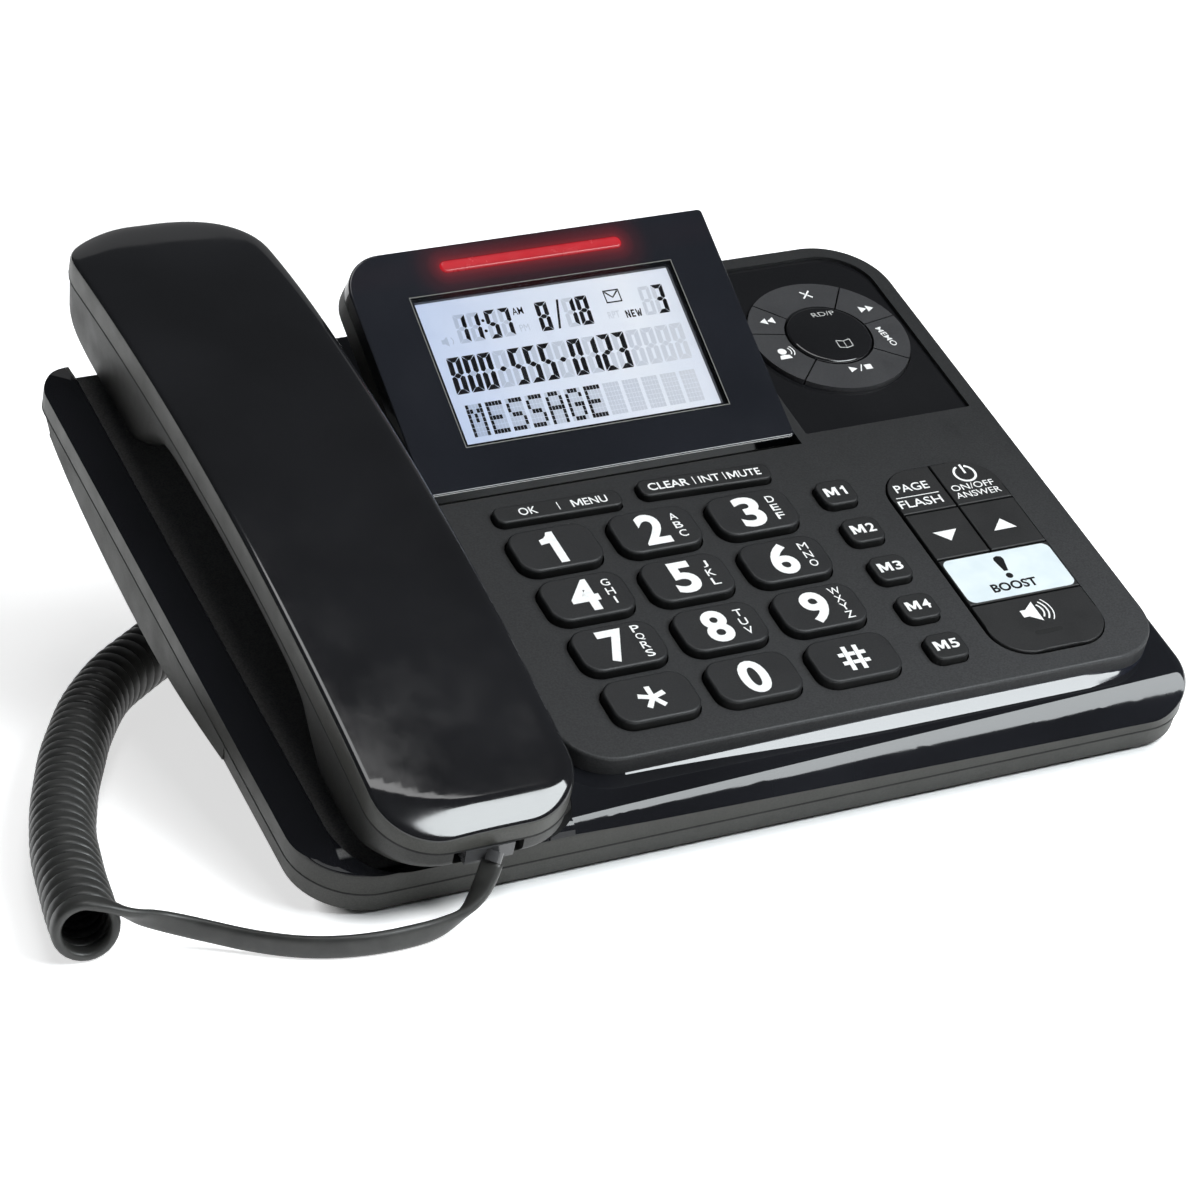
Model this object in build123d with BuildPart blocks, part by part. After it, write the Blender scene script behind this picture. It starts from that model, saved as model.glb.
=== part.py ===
from build123d import *
import math
import os

os.makedirs("parts", exist_ok=True)

# ---------------------------------------------------------------- driving dimensions (mm, degrees)
# Everything on the sloping slab is drawn in the deck frame: x to the right, v up the slope and
# n along the deck's normal, with the origin at the centre of key 1 on the deck surface.
deck_tilt = 22.0
origin_x, origin_y = -22.05, -18.47  # puts the centre of the footprint on the vertical axis
foot_height = 0.8

case_left, case_right = -91.4, 136.2
case_front, case_back = -79.0, 98.8
case_corner_fl, case_corner_fr, case_corner_br, case_corner_bl = 17.0, 15.0, 24.0, 9.0
n_ledge, n_part, n_bottom = -4.8, -12.9, -18.1
wall = 2.2

deck_left, deck_right = -25.0, 131.0
deck_front, deck_back = -66.5, 93.6
deck_corner_front, deck_corner_back = 12.5, 18.0
deck_skin = 2.2

key_pitch_x, key_pitch_v = 26.0, 17.3
key_w, key_d, key_rise, key_corner = 21.8, 14.2, 2.3, 4.6
key_gap = 0.35
key_travel = 1.2

trough_left, trough_right, trough_floor = -83.7, -27.0, -11.4

display_x0, display_x1 = -21.7, 76.7
display_h, display_t = 66.2, 10.5
display_rest_tilt = 20.0
hinge_v, hinge_n = 29.5, -5.4
trunnion_r = 1.6
display_edge_v, display_edge_n = 25.0, 0.5  # lower front edge of the display when tilted up
well_front, well_floor = 22.2, -11.3
lcd_x0, lcd_x1, lcd_h0, lcd_h1 = -6.4, 62.0, 12.3, 52.0
bar_x0, bar_x1, bar_h, bar_d = 3.1, 52.1, 60.2, 3.4

nav_x, nav_v, nav_r, nav_disc_r = 103.9, 58.7, 20.8, 11.0

grip_left, grip_right, grip_right_back = -79.0, -31.2, -28.9
grip_front, grip_back = -85.6, 130.5
grip_crown_v, grip_crown_n, grip_radius = 28.0, 19.6, 650.0

coil_r = 7.75
cord_r = 1.8

tilt = math.radians(deck_tilt)
origin_z = -case_front * math.sin(tilt) - n_bottom * math.cos(tilt) + foot_height


def at(x, v, n):
    """A point of the deck frame in the part's frame."""
    return Vector(
        origin_x + x,
        origin_y + v * math.cos(tilt) - n * math.sin(tilt),
        origin_z + v * math.sin(tilt) + n * math.cos(tilt),
    )


def way(x, v, n):
    """A direction of the deck frame in the part's frame."""
    return at(x, v, n) - at(0, 0, 0)


deck = Plane(origin=at(0, 0, 0), x_dir=(1, 0, 0), z_dir=way(0, 0, 1))
# Side planes: local x is v (or Y), local y is n (or Z), and the normal is +X.
side = Plane(origin=at(0, 0, 0), x_dir=way(0, 1, 0), z_dir=(1, 0, 0))
floor_side = Plane(origin=(origin_x, 0, 0), x_dir=(0, 1, 0), z_dir=(1, 0, 0))


def case_points(inset, back_inset=None, left_inset=None):
    """The slab's outline as corner points with their radii, moved inwards by inset."""
    b = inset if back_inset is None else back_inset
    a = inset if left_inset is None else left_inset
    return [
        ((case_left + a, case_front + inset), case_corner_fl - inset),
        ((case_right - inset, case_front + inset), case_corner_fr - inset),
        ((case_right - inset, case_back - b), case_corner_br - inset),
        ((case_left + a, case_back - b), max(case_corner_bl - inset, 4.0)),
    ]


def put(part, name):
    part.part.label = name
    export_step(part.part, f"parts/{name}.step")


# ================================================================ base
# ---------------------------------------------------------------- upper case: gloss frame, left wing and cradle trough
with BuildPart() as upper_case:
    with BuildSketch(deck.offset(n_part)):
        with BuildLine():
            FilletPolyline(
                *[p for p, r in case_points(0)],
                radius=[r for p, r in case_points(0)],
                close=True,
            )
        make_face()
    extrude(amount=n_ledge - n_part)
    # rounded edge along the top of the outer wall
    top = upper_case.faces().sort_by(Axis((0, 0, 0), way(0, 0, 1)))[-1]
    fillet(top.edges(), radius=3.4)
    # the left wing's top falls away to the left, and to the front where the handset rests
    with BuildSketch(Plane(origin=at(0, -90, 0), x_dir=(1, 0, 0), z_dir=way(0, -1, 0))):
        with BuildLine():
            Polyline((-83.9, n_ledge), (-94.0, n_ledge - 4.2), (-94.0, 3.0), (-83.9, 3.0), (-83.9, n_ledge))
        make_face()
    extrude(amount=-200, mode=Mode.SUBTRACT)
    with BuildSketch(side.offset(-100)):
        with BuildLine():
            Polyline((-70.0, n_ledge), (-82.0, n_ledge - 3.6), (-82.0, 3.0), (-70.0, 3.0), (-70.0, n_ledge))
        make_face()
    extrude(amount=64, mode=Mode.SUBTRACT)
    # the wing's rear end is bevelled
    with BuildSketch(side.offset(-100)):
        with BuildLine():
            Polyline((90.0, n_ledge), (101.0, n_ledge - 3.4), (101.0, 3.0), (90.0, 3.0), (90.0, n_ledge))
        make_face()
    extrude(amount=100 + trough_left + 3.0, mode=Mode.SUBTRACT)
    # the front ledge rolls over to the outer wall, further in towards the right
    for station, start, middle, end in (
        (-30.0, (-76.0, n_ledge), (-78.0, -6.2), (-80.0, -9.8)),
        (140.0, (-70.0, n_ledge), (-75.2, -7.4), (-80.0, -12.0)),
    ):
        with BuildSketch(side.offset(station)):
            with BuildLine():
                ThreePointArc(start, middle, end)
                Polyline(end, (-80.0, 3.0), (start[0], 3.0), start)
            make_face()
    loft(mode=Mode.SUBTRACT)
    # bench that closes the trough from below
    with BuildSketch(deck.offset(n_part - 0.6)):
        with Locations(((trough_left + trough_right) / 2, (-72.0 + 84.0) / 2)):
            RectangleRounded(trough_right - trough_left + 2.4, 84.0 + 72.0, 22.0)
    extrude(amount=0.7)
    # hollow under the deck
    with BuildSketch(deck.offset(n_part - 0.1)):
        with Locations(((trough_right + 2.2 + case_right - 5.5) / 2, (deck_front + deck_back) / 2)):
            RectangleRounded(case_right - 5.5 - trough_right - 2.2, deck_back - deck_front - 4, 9)
    extrude(amount=n_ledge - 2.0 - n_part + 0.1, mode=Mode.SUBTRACT)
    # opening under the keypad and the round keys
    with BuildSketch(deck.offset(n_part)):
        with Locations(((deck_left + 5 + deck_right - 5) / 2, (deck_front + 5 + 19.0) / 2)):
            RectangleRounded(deck_right - deck_left - 10, 19.0 - deck_front - 5, 7)
        with Locations((nav_x + 0.5, nav_v - 2.0)):
            Rectangle(45, 62)
    extrude(amount=12, mode=Mode.SUBTRACT)
    # floor and walls of the display well
    with BuildSketch(deck.offset(n_part)):
        with Locations((27.5, (well_front - 1.6 + deck_back) / 2)):
            Rectangle(103.6, deck_back - well_front + 1.6)
    extrude(amount=-2.8 - n_part)
    with BuildSketch(deck.offset(well_floor)):
        with Locations((27.5, (well_front + 110.0) / 2)):
            Rectangle(99.4, 110.0 - well_front)
    extrude(amount=20, mode=Mode.SUBTRACT)
    # trough for the handset, open at both ends; it curves round the front left corner
    with BuildSketch(deck.offset(trough_floor)):
        with BuildLine():
            FilletPolyline(
                (trough_left + 2.5, 120.0),
                (trough_left + 2.5, -74.0),
                (trough_right - 1.0, -74.0),
                (trough_right - 1.0, 120.0),
                radius=[10.0, 13.0],
            )
            Line((trough_right - 1.0, 120.0), (trough_left + 2.5, 120.0))
        make_face()
    with BuildSketch(deck.offset(n_ledge + 0.2)):
        with BuildLine():
            FilletPolyline(
                (trough_left, 120.0),
                (trough_left, -84.0),
                (trough_right, -84.0),
                (trough_right, 120.0),
                radius=[20.0, 18.0],
            )
            Line((trough_right, 120.0), (trough_left, 120.0))
        make_face()
    loft(mode=Mode.SUBTRACT)
    # raised pad under the mouthpiece
    with BuildSketch(deck.offset(trough_floor - 0.2)):
        with Locations((-54.5, -58.0)):
            RectangleRounded(34, 22, 8)
    extrude(amount=2.4)
    # hole for the hook switch plunger
    with BuildSketch(deck.offset(-20)):
        with Locations((-37.5, 69.0)):
            Circle(4.3)
    extrude(amount=12, mode=Mode.SUBTRACT)
    # bearings for the display's trunnions, through both side walls of the well
    with BuildSketch(Plane(origin=at(-30, 0, 0), x_dir=way(0, 1, 0), z_dir=(1, 0, 0))):
        with Locations((hinge_v, hinge_n)):
            Circle(trunnion_r + 0.06)
    extrude(amount=112, mode=Mode.SUBTRACT)
    # screw bosses
    with BuildSketch(deck.offset(n_ledge - 1.5)):
        with Locations((-15.0, -62.0), (122.0, -60.0), (127.0, 20.0), (24.0, -62.0)):
            Circle(3.4)
    extrude(amount=-(n_ledge - 1.5 - n_part))
    with BuildSketch(deck.offset(n_part)):
        with Locations((-15.0, -62.0), (122.0, -60.0), (127.0, 20.0), (24.0, -62.0)):
            Circle(1.5)
    extrude(amount=4.6, mode=Mode.SUBTRACT)
put(upper_case, "upper_case")

# ---------------------------------------------------------------- lower case with the deeper bay for the line electronics
bay_x0, bay_x1, bay_v0, bay_v1, bay_n = -46.0, 92.0, 2.0, 90.0, -32.0
jack_v, jack_n = 81.0, -25.0
rear_jack_x = 40.0
with BuildPart() as lower_case:
    with BuildSketch(deck.offset(n_part)):
        with BuildLine():
            FilletPolyline(
                *[p for p, r in case_points(0.3)],
                radius=[r for p, r in case_points(0.3)],
                close=True,
            )
        make_face()
    with BuildSketch(deck.offset(n_bottom)):
        with BuildLine():
            FilletPolyline(
                *[p for p, r in case_points(0.4, 6.0, 0.7)],
                radius=[r for p, r in case_points(0.4, 6.0, 0.7)],
                close=True,
            )
        make_face()
    loft(ruled=True)
    # skirt under the left wing, deepest at the middle
    with BuildSketch(side.offset(case_left + 0.3)):
        with BuildLine():
            Line((86.0, n_part - 0.5), (86.0, -16.8))
            Spline((86.0, -16.8), (78.0, -18.6), (53.0, -21.8), (30.0, -23.0), (7.0, -22.6), (-12.0, -20.4), (-27.0, -17.9))
            Line((-27.0, -17.9), (-27.0, n_part - 0.5))
            Line((-27.0, n_part - 0.5), (86.0, n_part - 0.5))
        make_face()
    extrude(amount=3.0)
    with BuildSketch(deck.offset(bay_n)):
        with Locations(((bay_x0 + bay_x1) / 2, (bay_v0 + bay_v1) / 2)):
            RectangleRounded(bay_x1 - bay_x0, bay_v1 - bay_v0, 6)
    extrude(amount=n_bottom - bay_n + 1.0)
    # inside of the tray
    with BuildSketch(deck.offset(n_bottom + 2.0)):
        with BuildLine():
            FilletPolyline(
                *[p for p, r in case_points(5.4, 10.0, 6.0)],
                radius=[r for p, r in case_points(5.4, 10.0, 6.0)],
                close=True,
            )
        make_face()
    extrude(amount=10, mode=Mode.SUBTRACT)
    with BuildSketch(deck.offset(bay_n + 2.0)):
        with Locations(((bay_x0 + bay_x1) / 2, (bay_v0 + bay_v1) / 2)):
            RectangleRounded(bay_x1 - bay_x0 - 4.4, bay_v1 - bay_v0 - 4.4, 2)
    extrude(amount=20, mode=Mode.SUBTRACT)
    # screw columns with holes countersunk from below
    with BuildSketch(deck.offset(n_bottom + 1.0)):
        with Locations((-15.0, -62.0), (122.0, -60.0), (127.0, 20.0), (24.0, -62.0)):
            Circle(3.6)
    extrude(amount=n_part - n_bottom - 1.05)
    with BuildSketch(deck.offset(n_bottom - 1)):
        with Locations((-15.0, -62.0), (122.0, -60.0), (127.0, 20.0), (24.0, -62.0)):
            Circle(1.6)
    extrude(amount=10, mode=Mode.SUBTRACT)
    with BuildSketch(deck.offset(n_bottom - 1)):
        with Locations((-15.0, -62.0), (122.0, -60.0), (127.0, 20.0), (24.0, -62.0)):
            Circle(2.9)
    extrude(amount=3.0, mode=Mode.SUBTRACT)
    # grille under the loudspeaker
    with BuildSketch(deck.offset(n_bottom - 1)):
        with Locations(*[(46.0, -32.0 + 4.2 * k) for k in range(-3, 4)]):
            SlotOverall(28, 2.0)
    extrude(amount=4, mode=Mode.SUBTRACT)
    # window of the handset jack in the bay's left wall, windows of the two jacks in its rear wall
    with BuildSketch(Plane(origin=at(bay_x0 - 1, 0, 0), x_dir=way(0, 1, 0), z_dir=(1, 0, 0))):
        with Locations((jack_v, jack_n)):
            Rectangle(9.0, 8.0)
    extrude(amount=5, mode=Mode.SUBTRACT)
    with BuildSketch(Plane(origin=at(0, bay_v1 + 1, 0), x_dir=(1, 0, 0), z_dir=way(0, -1, 0))):
        with Locations((rear_jack_x, jack_n)):
            Rectangle(34.0, 9.0)
    extrude(amount=5, mode=Mode.SUBTRACT)
put(lower_case, "lower_case")

# ---------------------------------------------------------------- matte face plate with its key openings
dial_spots = [(i * key_pitch_x, -j * key_pitch_v) for j in range(4) for i in range(3)]
dial_names = ["key_1", "key_2", "key_3", "key_4", "key_5", "key_6", "key_7", "key_8", "key_9", "key_star", "key_0", "key_hash"]
memory_spots = [(75.8, 1.9 - 13.9 * k) for k in range(5)]
memory_w, memory_d = 9.6, 8.6
ok_bar = (6.9, 13.5, 32.8, 5.6, -1.0)  # centre x, centre v, length, depth, turn
mute_bar = (46.0, 14.0, 34.8, 5.8, -2.0)
cluster_x = (88.8, 104.0, 119.6)
cluster_v = (6.6, -8.9, -25.6, -42.1, -60.2)
cluster_corner = 9.5
cluster_gap = 0.45
nav_plate_x0, nav_plate_x1, nav_plate_v0, nav_plate_v1 = 80.0, 126.6, 25.2, 89.4

with BuildPart() as faceplate:
    with BuildSketch(deck.offset(n_ledge + 0.02)):
        with BuildLine():
            FilletPolyline(
                (deck_left, deck_front),
                (deck_right, deck_front),
                (deck_right, deck_back),
                (deck_left, deck_back),
                radius=[deck_corner_front, deck_corner_front + 2, deck_corner_back, 4.0],
                close=True,
            )
        make_face()
    extrude(amount=-n_ledge - 0.02)
    upper_edge = faceplate.faces().sort_by(Axis((0, 0, 0), way(0, 0, 1)))[-1]
    fillet(upper_edge.edges(), radius=0.7)
    # hollow underside
    with BuildSketch(deck.offset(n_ledge - 1)):
        with BuildLine():
            FilletPolyline(
                (deck_left + 2, deck_front + 2),
                (deck_right - 2, deck_front + 2),
                (deck_right - 2, well_front - 1.2),
                (deck_left + 2, well_front - 1.2),
                radius=[deck_corner_front - 2, deck_corner_front, 2.0, 2.0],
                close=True,
            )
        make_face()
    extrude(amount=1 - n_ledge - deck_skin, mode=Mode.SUBTRACT)
    # opening over the display well, open to the rear
    with BuildSketch(deck.offset(-8)):
        with Locations(((display_x0 + display_x1) / 2, (well_front + 110) / 2)):
            Rectangle(display_x1 - display_x0 + 1.0, 110 - well_front)
    extrude(amount=10, mode=Mode.SUBTRACT)
    # room for the walls of the well
    with BuildSketch(deck.offset(-8)):
        with Locations((27.5, (well_front - 1.8 + 110) / 2)):
            Rectangle(104.2, 110 - well_front + 1.8)
    extrude(amount=8 - 2.6, mode=Mode.SUBTRACT)
    # pocket for the glossy plate round the round keys, with a way through
    with BuildSketch(deck.offset(-2.6)):
        with BuildLine():
            FilletPolyline(
                (nav_plate_x0, nav_plate_v0),
                (nav_plate_x1, nav_plate_v0),
                (nav_plate_x1, nav_plate_v1),
                (nav_plate_x0, nav_plate_v1),
                radius=[0.6, 0.6, 13.0, 0.6],
                close=True,
            )
        make_face()
    extrude(amount=5, mode=Mode.SUBTRACT)
    with BuildSketch(deck.offset(-8)):
        with Locations((nav_x, nav_v)):
            Circle(nav_r + 1.75)
    extrude(amount=10, mode=Mode.SUBTRACT)
    # dial keys
    with BuildSketch(deck.offset(-8)):
        with Locations(*dial_spots):
            RectangleRounded(key_w + 2 * key_gap, key_d + 2 * key_gap, key_corner + key_gap)
    extrude(amount=10, mode=Mode.SUBTRACT)
    # memory keys
    with BuildSketch(deck.offset(-8)):
        with Locations(*memory_spots):
            RectangleRounded(memory_w + 2 * key_gap, memory_d + 2 * key_gap, 2.6 + key_gap)
    extrude(amount=10, mode=Mode.SUBTRACT)
    # the two bars
    with BuildSketch(deck.offset(-8)):
        for bx, bv, bl, bd, turn in (ok_bar, mute_bar):
            with Locations(Location((bx, bv, 0), (0, 0, turn))):
                RectangleRounded(bl + 2 * key_gap, bd + 2 * key_gap, 2.2 + key_gap)
    extrude(amount=10, mode=Mode.SUBTRACT)
    # one opening round the six keys of the right-hand cluster
    with BuildSketch(deck.offset(-8)):
        with Locations(((cluster_x[0] + cluster_x[2]) / 2, (cluster_v[0] + cluster_v[4]) / 2)):
            RectangleRounded(
                cluster_x[2] - cluster_x[0] + 0.7, cluster_v[0] - cluster_v[4] + 0.7, cluster_corner + 0.35
            )
    extrude(amount=10, mode=Mode.SUBTRACT)
put(faceplate, "faceplate")

with BuildPart() as nav_plate:
    with BuildSketch(deck.offset(-2.6)):
        with BuildLine():
            FilletPolyline(
                (nav_plate_x0 + 0.15, nav_plate_v0 + 0.15),
                (nav_plate_x1 - 0.15, nav_plate_v0 + 0.15),
                (nav_plate_x1 - 0.15, nav_plate_v1 - 0.15),
                (nav_plate_x0 + 0.15, nav_plate_v1 - 0.15),
                radius=[0.5, 0.5, 12.85, 0.5],
                close=True,
            )
        make_face()
    extrude(amount=1.7)
    with BuildSketch(deck.offset(-4)):
        with Locations((nav_x, nav_v)):
            Circle(nav_r + key_gap)
    extrude(amount=5, mode=Mode.SUBTRACT)
put(nav_plate, "nav_plate")

# ---------------------------------------------------------------- keys
for name, spot in zip(dial_names, dial_spots):
    with BuildPart() as key:
        with BuildSketch(deck.offset(-2.5)):
            with Locations(spot):
                RectangleRounded(key_w, key_d, key_corner)
        extrude(amount=2.5 + key_rise, taper=1.5)
        crown = key.faces().sort_by(Axis((0, 0, 0), way(0, 0, 1)))[-1]
        fillet(crown.edges(), radius=0.7)
        # flange that keeps the key under the plate, and its plunger
        with BuildSketch(deck.offset(-3.3)):
            with Locations(spot):
                RectangleRounded(key_w + 1.8, key_d + 1.6, key_corner)
        extrude(amount=0.8)
    put(key, name)

for k, spot in enumerate(memory_spots):
    with BuildPart() as key:
        with BuildSketch(deck.offset(-2.5)):
            with Locations(spot):
                RectangleRounded(memory_w, memory_d, 2.6)
        extrude(amount=2.5 + 2.0)
        crown = key.faces().sort_by(Axis((0, 0, 0), way(0, 0, 1)))[-1]
        fillet(crown.edges(), radius=0.6)
        with BuildSketch(deck.offset(-3.3)):
            with Locations(spot):
                RectangleRounded(memory_w + 2.2, memory_d + 2.2, 2.6)
        extrude(amount=0.8)
    put(key, f"memory_key_{k + 1}")

for name, (bx, bv, bl, bd, turn) in (("ok_menu_bar", ok_bar), ("clear_mute_bar", mute_bar)):
    with BuildPart() as key:
        with BuildSketch(deck.offset(-2.5)):
            with Locations(Location((bx, bv, 0), (0, 0, turn))):
                RectangleRounded(bl, bd, 2.2)
        extrude(amount=2.5 + 1.9)
        crown = key.faces().sort_by(Axis((0, 0, 0), way(0, 0, 1)))[-1]
        fillet(crown.edges(), radius=0.6)
        with BuildSketch(deck.offset(-3.3)):
            with Locations(Location((bx, bv, 0), (0, 0, turn))):
                RectangleRounded(bl + 2.0, bd + 1.6, 2.4)
        extrude(amount=0.8)
    put(key, name)

# the cluster: six keys cut from one rounded block, a narrow gap apart
x0, x1, x2 = cluster_x
v0, v1, v2, v3, v4 = cluster_v
cluster_cells = {
    "page_flash_key": (x0, x1, v1, v0),
    "answer_power_key": (x1, x2, v1, v0),
    "volume_down_key": (x0, x1, v2, v1),
    "volume_up_key": (x1, x2, v2, v1),
    "boost_key": (x0, x2, v3, v2),
    "speaker_key": (x0, x2, v4, v3),
}
for name, (a, b, c, d) in cluster_cells.items():
    g = cluster_gap / 2
    with BuildPart() as key:
        with BuildSketch(deck.offset(-3.3)):
            with Locations(((x0 + x2) / 2, (v0 + v4) / 2)):
                RectangleRounded(x2 - x0, v0 - v4, cluster_corner)
            with Locations(((a + b) / 2, (c + d) / 2)):
                Rectangle(b - a - 2 * g, d - c - 2 * g, mode=Mode.INTERSECT)
        extrude(amount=3.3 + 0.7)
        crown = key.faces().sort_by(Axis((0, 0, 0), way(0, 0, 1)))[-1]
        fillet(crown.edges(), radius=0.35)
    put(key, name)

# the ring of six keys and the disc at its centre
ring_cuts = [10.0, 55.0, 133.0, 166.0, 225.5, 321.0]
ring_names = ["nav_forward_key", "nav_delete_key", "nav_rewind_key", "nav_announce_key", "nav_play_key", "nav_memo_key"]
for k, name in enumerate(ring_names):
    a0 = ring_cuts[k]
    a1 = ring_cuts[(k + 1) % 6] + (360.0 if k == 5 else 0.0)
    middle = (a0 + a1) / 2
    rim_point = [
        (nav_x + 60.0 * math.cos(math.radians(a)), nav_v + 60.0 * math.sin(math.radians(a)))
        for a in (a0, middle, a1)
    ]
    with BuildPart() as key:
        with BuildSketch(deck.offset(-3.7)):
            with Locations((nav_x, nav_v)):
                Circle(nav_r)
                Circle(11.5, mode=Mode.SUBTRACT)
            with BuildLine():
                Polyline((nav_x, nav_v), *rim_point, (nav_x, nav_v))
            make_face(mode=Mode.INTERSECT)
        extrude(amount=3.7 + 0.3)
        with BuildSketch(deck.offset(-3.7)):
            with Locations((nav_x, nav_v)):
                Circle(nav_r + 1.4)
                Circle(nav_r - 2.0, mode=Mode.SUBTRACT)
            with BuildLine():
                Polyline((nav_x, nav_v), *rim_point, (nav_x, nav_v))
            make_face(mode=Mode.INTERSECT)
        extrude(amount=0.8)
        # half a gap off each end
        for a in (a0, a1):
            direction = way(math.cos(math.radians(a)), math.sin(math.radians(a)), 0)
            with BuildSketch(Plane(origin=at(nav_x, nav_v, 0), x_dir=direction, z_dir=way(0, 0, 1)).offset(-4)):
                with Locations((16.0, 0.0)):
                    Rectangle(20.0, 0.4)
            extrude(amount=6, mode=Mode.SUBTRACT)
    put(key, name)

dome_r = 80.0
with BuildPart() as nav_disc:
    with BuildSketch(deck.offset(-3.7)):
        with Locations((nav_x, nav_v)):
            Circle(nav_disc_r)
    extrude(amount=3.7 + 3.0)
    with Locations(at(nav_x, nav_v, 1.4 - dome_r)):
        Sphere(dome_r, mode=Mode.INTERSECT)
    dome = nav_disc.faces().sort_by(Axis((0, 0, 0), way(0, 0, 1)))[-1]
    fillet(dome.edges(), radius=0.8)
put(nav_disc, "nav_centre_key")

# ================================================================ display
# The display is drawn in its own plane: x to the right, h up its face, and its normal out of the face.
face = math.radians(deck_tilt + display_rest_tilt)
display = Plane(
    origin=at(0, display_edge_v, display_edge_n),
    x_dir=(1, 0, 0),
    z_dir=(0, -math.sin(face), math.cos(face)),
)
display_corner = 10.5
shell = 2.0


def display_outline(inset):
    FilletPolyline(
        (display_x0 + inset, inset),
        (display_x1 - inset, inset),
        (display_x1 - inset, display_h - inset),
        (display_x0 + inset, display_h - inset),
        radius=[0.8, 1.0, 1.2, display_corner - inset],
        close=True,
    )


with BuildPart() as display_bezel:
    with BuildSketch(display.offset(-4.2)):
        with BuildLine():
            display_outline(0)
        make_face()
    extrude(amount=4.2)
    rim = display_bezel.faces().sort_by(Axis((0, 0, 0), display.z_dir))[-1]
    fillet(rim.edges(), radius=0.5)
    with BuildSketch(display.offset(-6)):
        with BuildLine():
            display_outline(shell)
        make_face()
    extrude(amount=6 - 2.0, mode=Mode.SUBTRACT)
    # stepped window for the lens, and the slot for the light bar
    with BuildSketch(display.offset(-6)):
        with Locations(((lcd_x0 + lcd_x1) / 2, (lcd_h0 + lcd_h1) / 2)):
            Rectangle(lcd_x1 - lcd_x0, lcd_h1 - lcd_h0)
        with Locations(((bar_x0 + bar_x1) / 2, bar_h)):
            SlotOverall(bar_x1 - bar_x0, bar_d)
    extrude(amount=8, mode=Mode.SUBTRACT)
    with BuildSketch(display.offset(-1.0)):
        with Locations(((lcd_x0 + lcd_x1) / 2, (lcd_h0 + lcd_h1) / 2)):
            Rectangle(lcd_x1 - lcd_x0 + 2.0, lcd_h1 - lcd_h0 + 2.0)
    extrude(amount=3, mode=Mode.SUBTRACT)
put(display_bezel, "display_bezel")

with BuildPart() as display_lens:
    with BuildSketch(display.offset(-1.0)):
        with Locations(((lcd_x0 + lcd_x1) / 2, (lcd_h0 + lcd_h1) / 2)):
            Rectangle(lcd_x1 - lcd_x0 + 1.8, lcd_h1 - lcd_h0 + 1.8)
    extrude(amount=0.6)
put(display_lens, "display_lens")

with BuildPart() as light_bar:
    with BuildSketch(display.offset(-3.6)):
        with Locations(((bar_x0 + bar_x1) / 2, bar_h)):
            SlotOverall(bar_x1 - bar_x0 - 0.2, bar_d - 0.2)
    extrude(amount=3.6 + 0.4)
    fillet(light_bar.faces().sort_by(Axis((0, 0, 0), display.z_dir))[-1].edges(), radius=0.5)
    with BuildSketch(display.offset(-3.6)):
        with Locations(((bar_x0 + bar_x1) / 2, bar_h)):
            SlotOverall(bar_x1 - bar_x0 + 2.0, bar_d + 0.6)
    extrude(amount=1.5)
put(light_bar, "light_bar")

with BuildPart() as lcd_module:
    with BuildSketch(display.offset(-8.0)):
        with Locations(((lcd_x0 + lcd_x1) / 2, (lcd_h0 + lcd_h1) / 2)):
            Rectangle(lcd_x1 - lcd_x0 + 9.0, lcd_h1 - lcd_h0 + 7.0)
    extrude(amount=2.6)
    with BuildSketch(display.offset(-5.4)):
        with Locations(((lcd_x0 + lcd_x1) / 2, (lcd_h0 + lcd_h1) / 2)):
            Rectangle(lcd_x1 - lcd_x0 + 4.0, lcd_h1 - lcd_h0 + 4.0)
    extrude(amount=3.2)
put(lcd_module, "lcd_module")

with BuildPart() as display_back:
    with BuildSketch(display.offset(-display_t)):
        with BuildLine():
            display_outline(0)
        make_face()
    extrude(amount=display_t - 4.4)
    back_rim = display_back.faces().sort_by(Axis((0, 0, 0), display.z_dir))[0]
    fillet(back_rim.edges(), radius=0.7)
    with BuildSketch(display.offset(-display_t + shell)):
        with BuildLine():
            display_outline(shell)
        make_face()
    extrude(amount=display_t, mode=Mode.SUBTRACT)
    # lip that centres the bezel
    for inset, low, high in ((shell - 0.5, -7.0, -4.5), (shell + 0.1, -4.6, -3.4)):
        with BuildSketch(display.offset(low)):
            with BuildLine():
                display_outline(inset)
            make_face()
            with BuildLine():
                display_outline(shell + 1.1)
            make_face(mode=Mode.SUBTRACT)
        extrude(amount=high - low)
    # trunnions, one at each end of the lower edge
    with BuildSketch(Plane(origin=at(display_x0 + 1.0, 0, 0), x_dir=way(0, 1, 0), z_dir=(1, 0, 0))):
        with Locations((hinge_v, hinge_n)):
            Circle(trunnion_r)
    extrude(amount=-3.2)
    with BuildSketch(Plane(origin=at(display_x1 - 1.0, 0, 0), x_dir=way(0, 1, 0), z_dir=(1, 0, 0))):
        with Locations((hinge_v, hinge_n)):
            Circle(trunnion_r)
    extrude(amount=3.2)
put(display_back, "display_back")

# ================================================================ handset
# Side profile in the deck frame: a long shallow arch on top, a thin grip and two deep ends.


def crown(v, drop=0.0):
    return grip_crown_n - (v - grip_crown_v) ** 2 / (2 * grip_radius) - drop


def grip_outline(inset):
    FilletPolyline(
        (grip_left + inset, grip_front + inset),
        (grip_right - inset, grip_front + inset),
        (grip_right_back - inset, grip_back - inset),
        (grip_left + inset, grip_back - inset),
        radius=[15.0 - inset, 15.0 - inset, 22.0 - inset, 22.0 - inset],
        close=True,
    )


part_drop = 6.6
part_gap = 0.1
handset_wall = 2.2
jack_x, jack_n_handset = -55.2, 0.8  # centre of the slot in the front end


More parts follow.
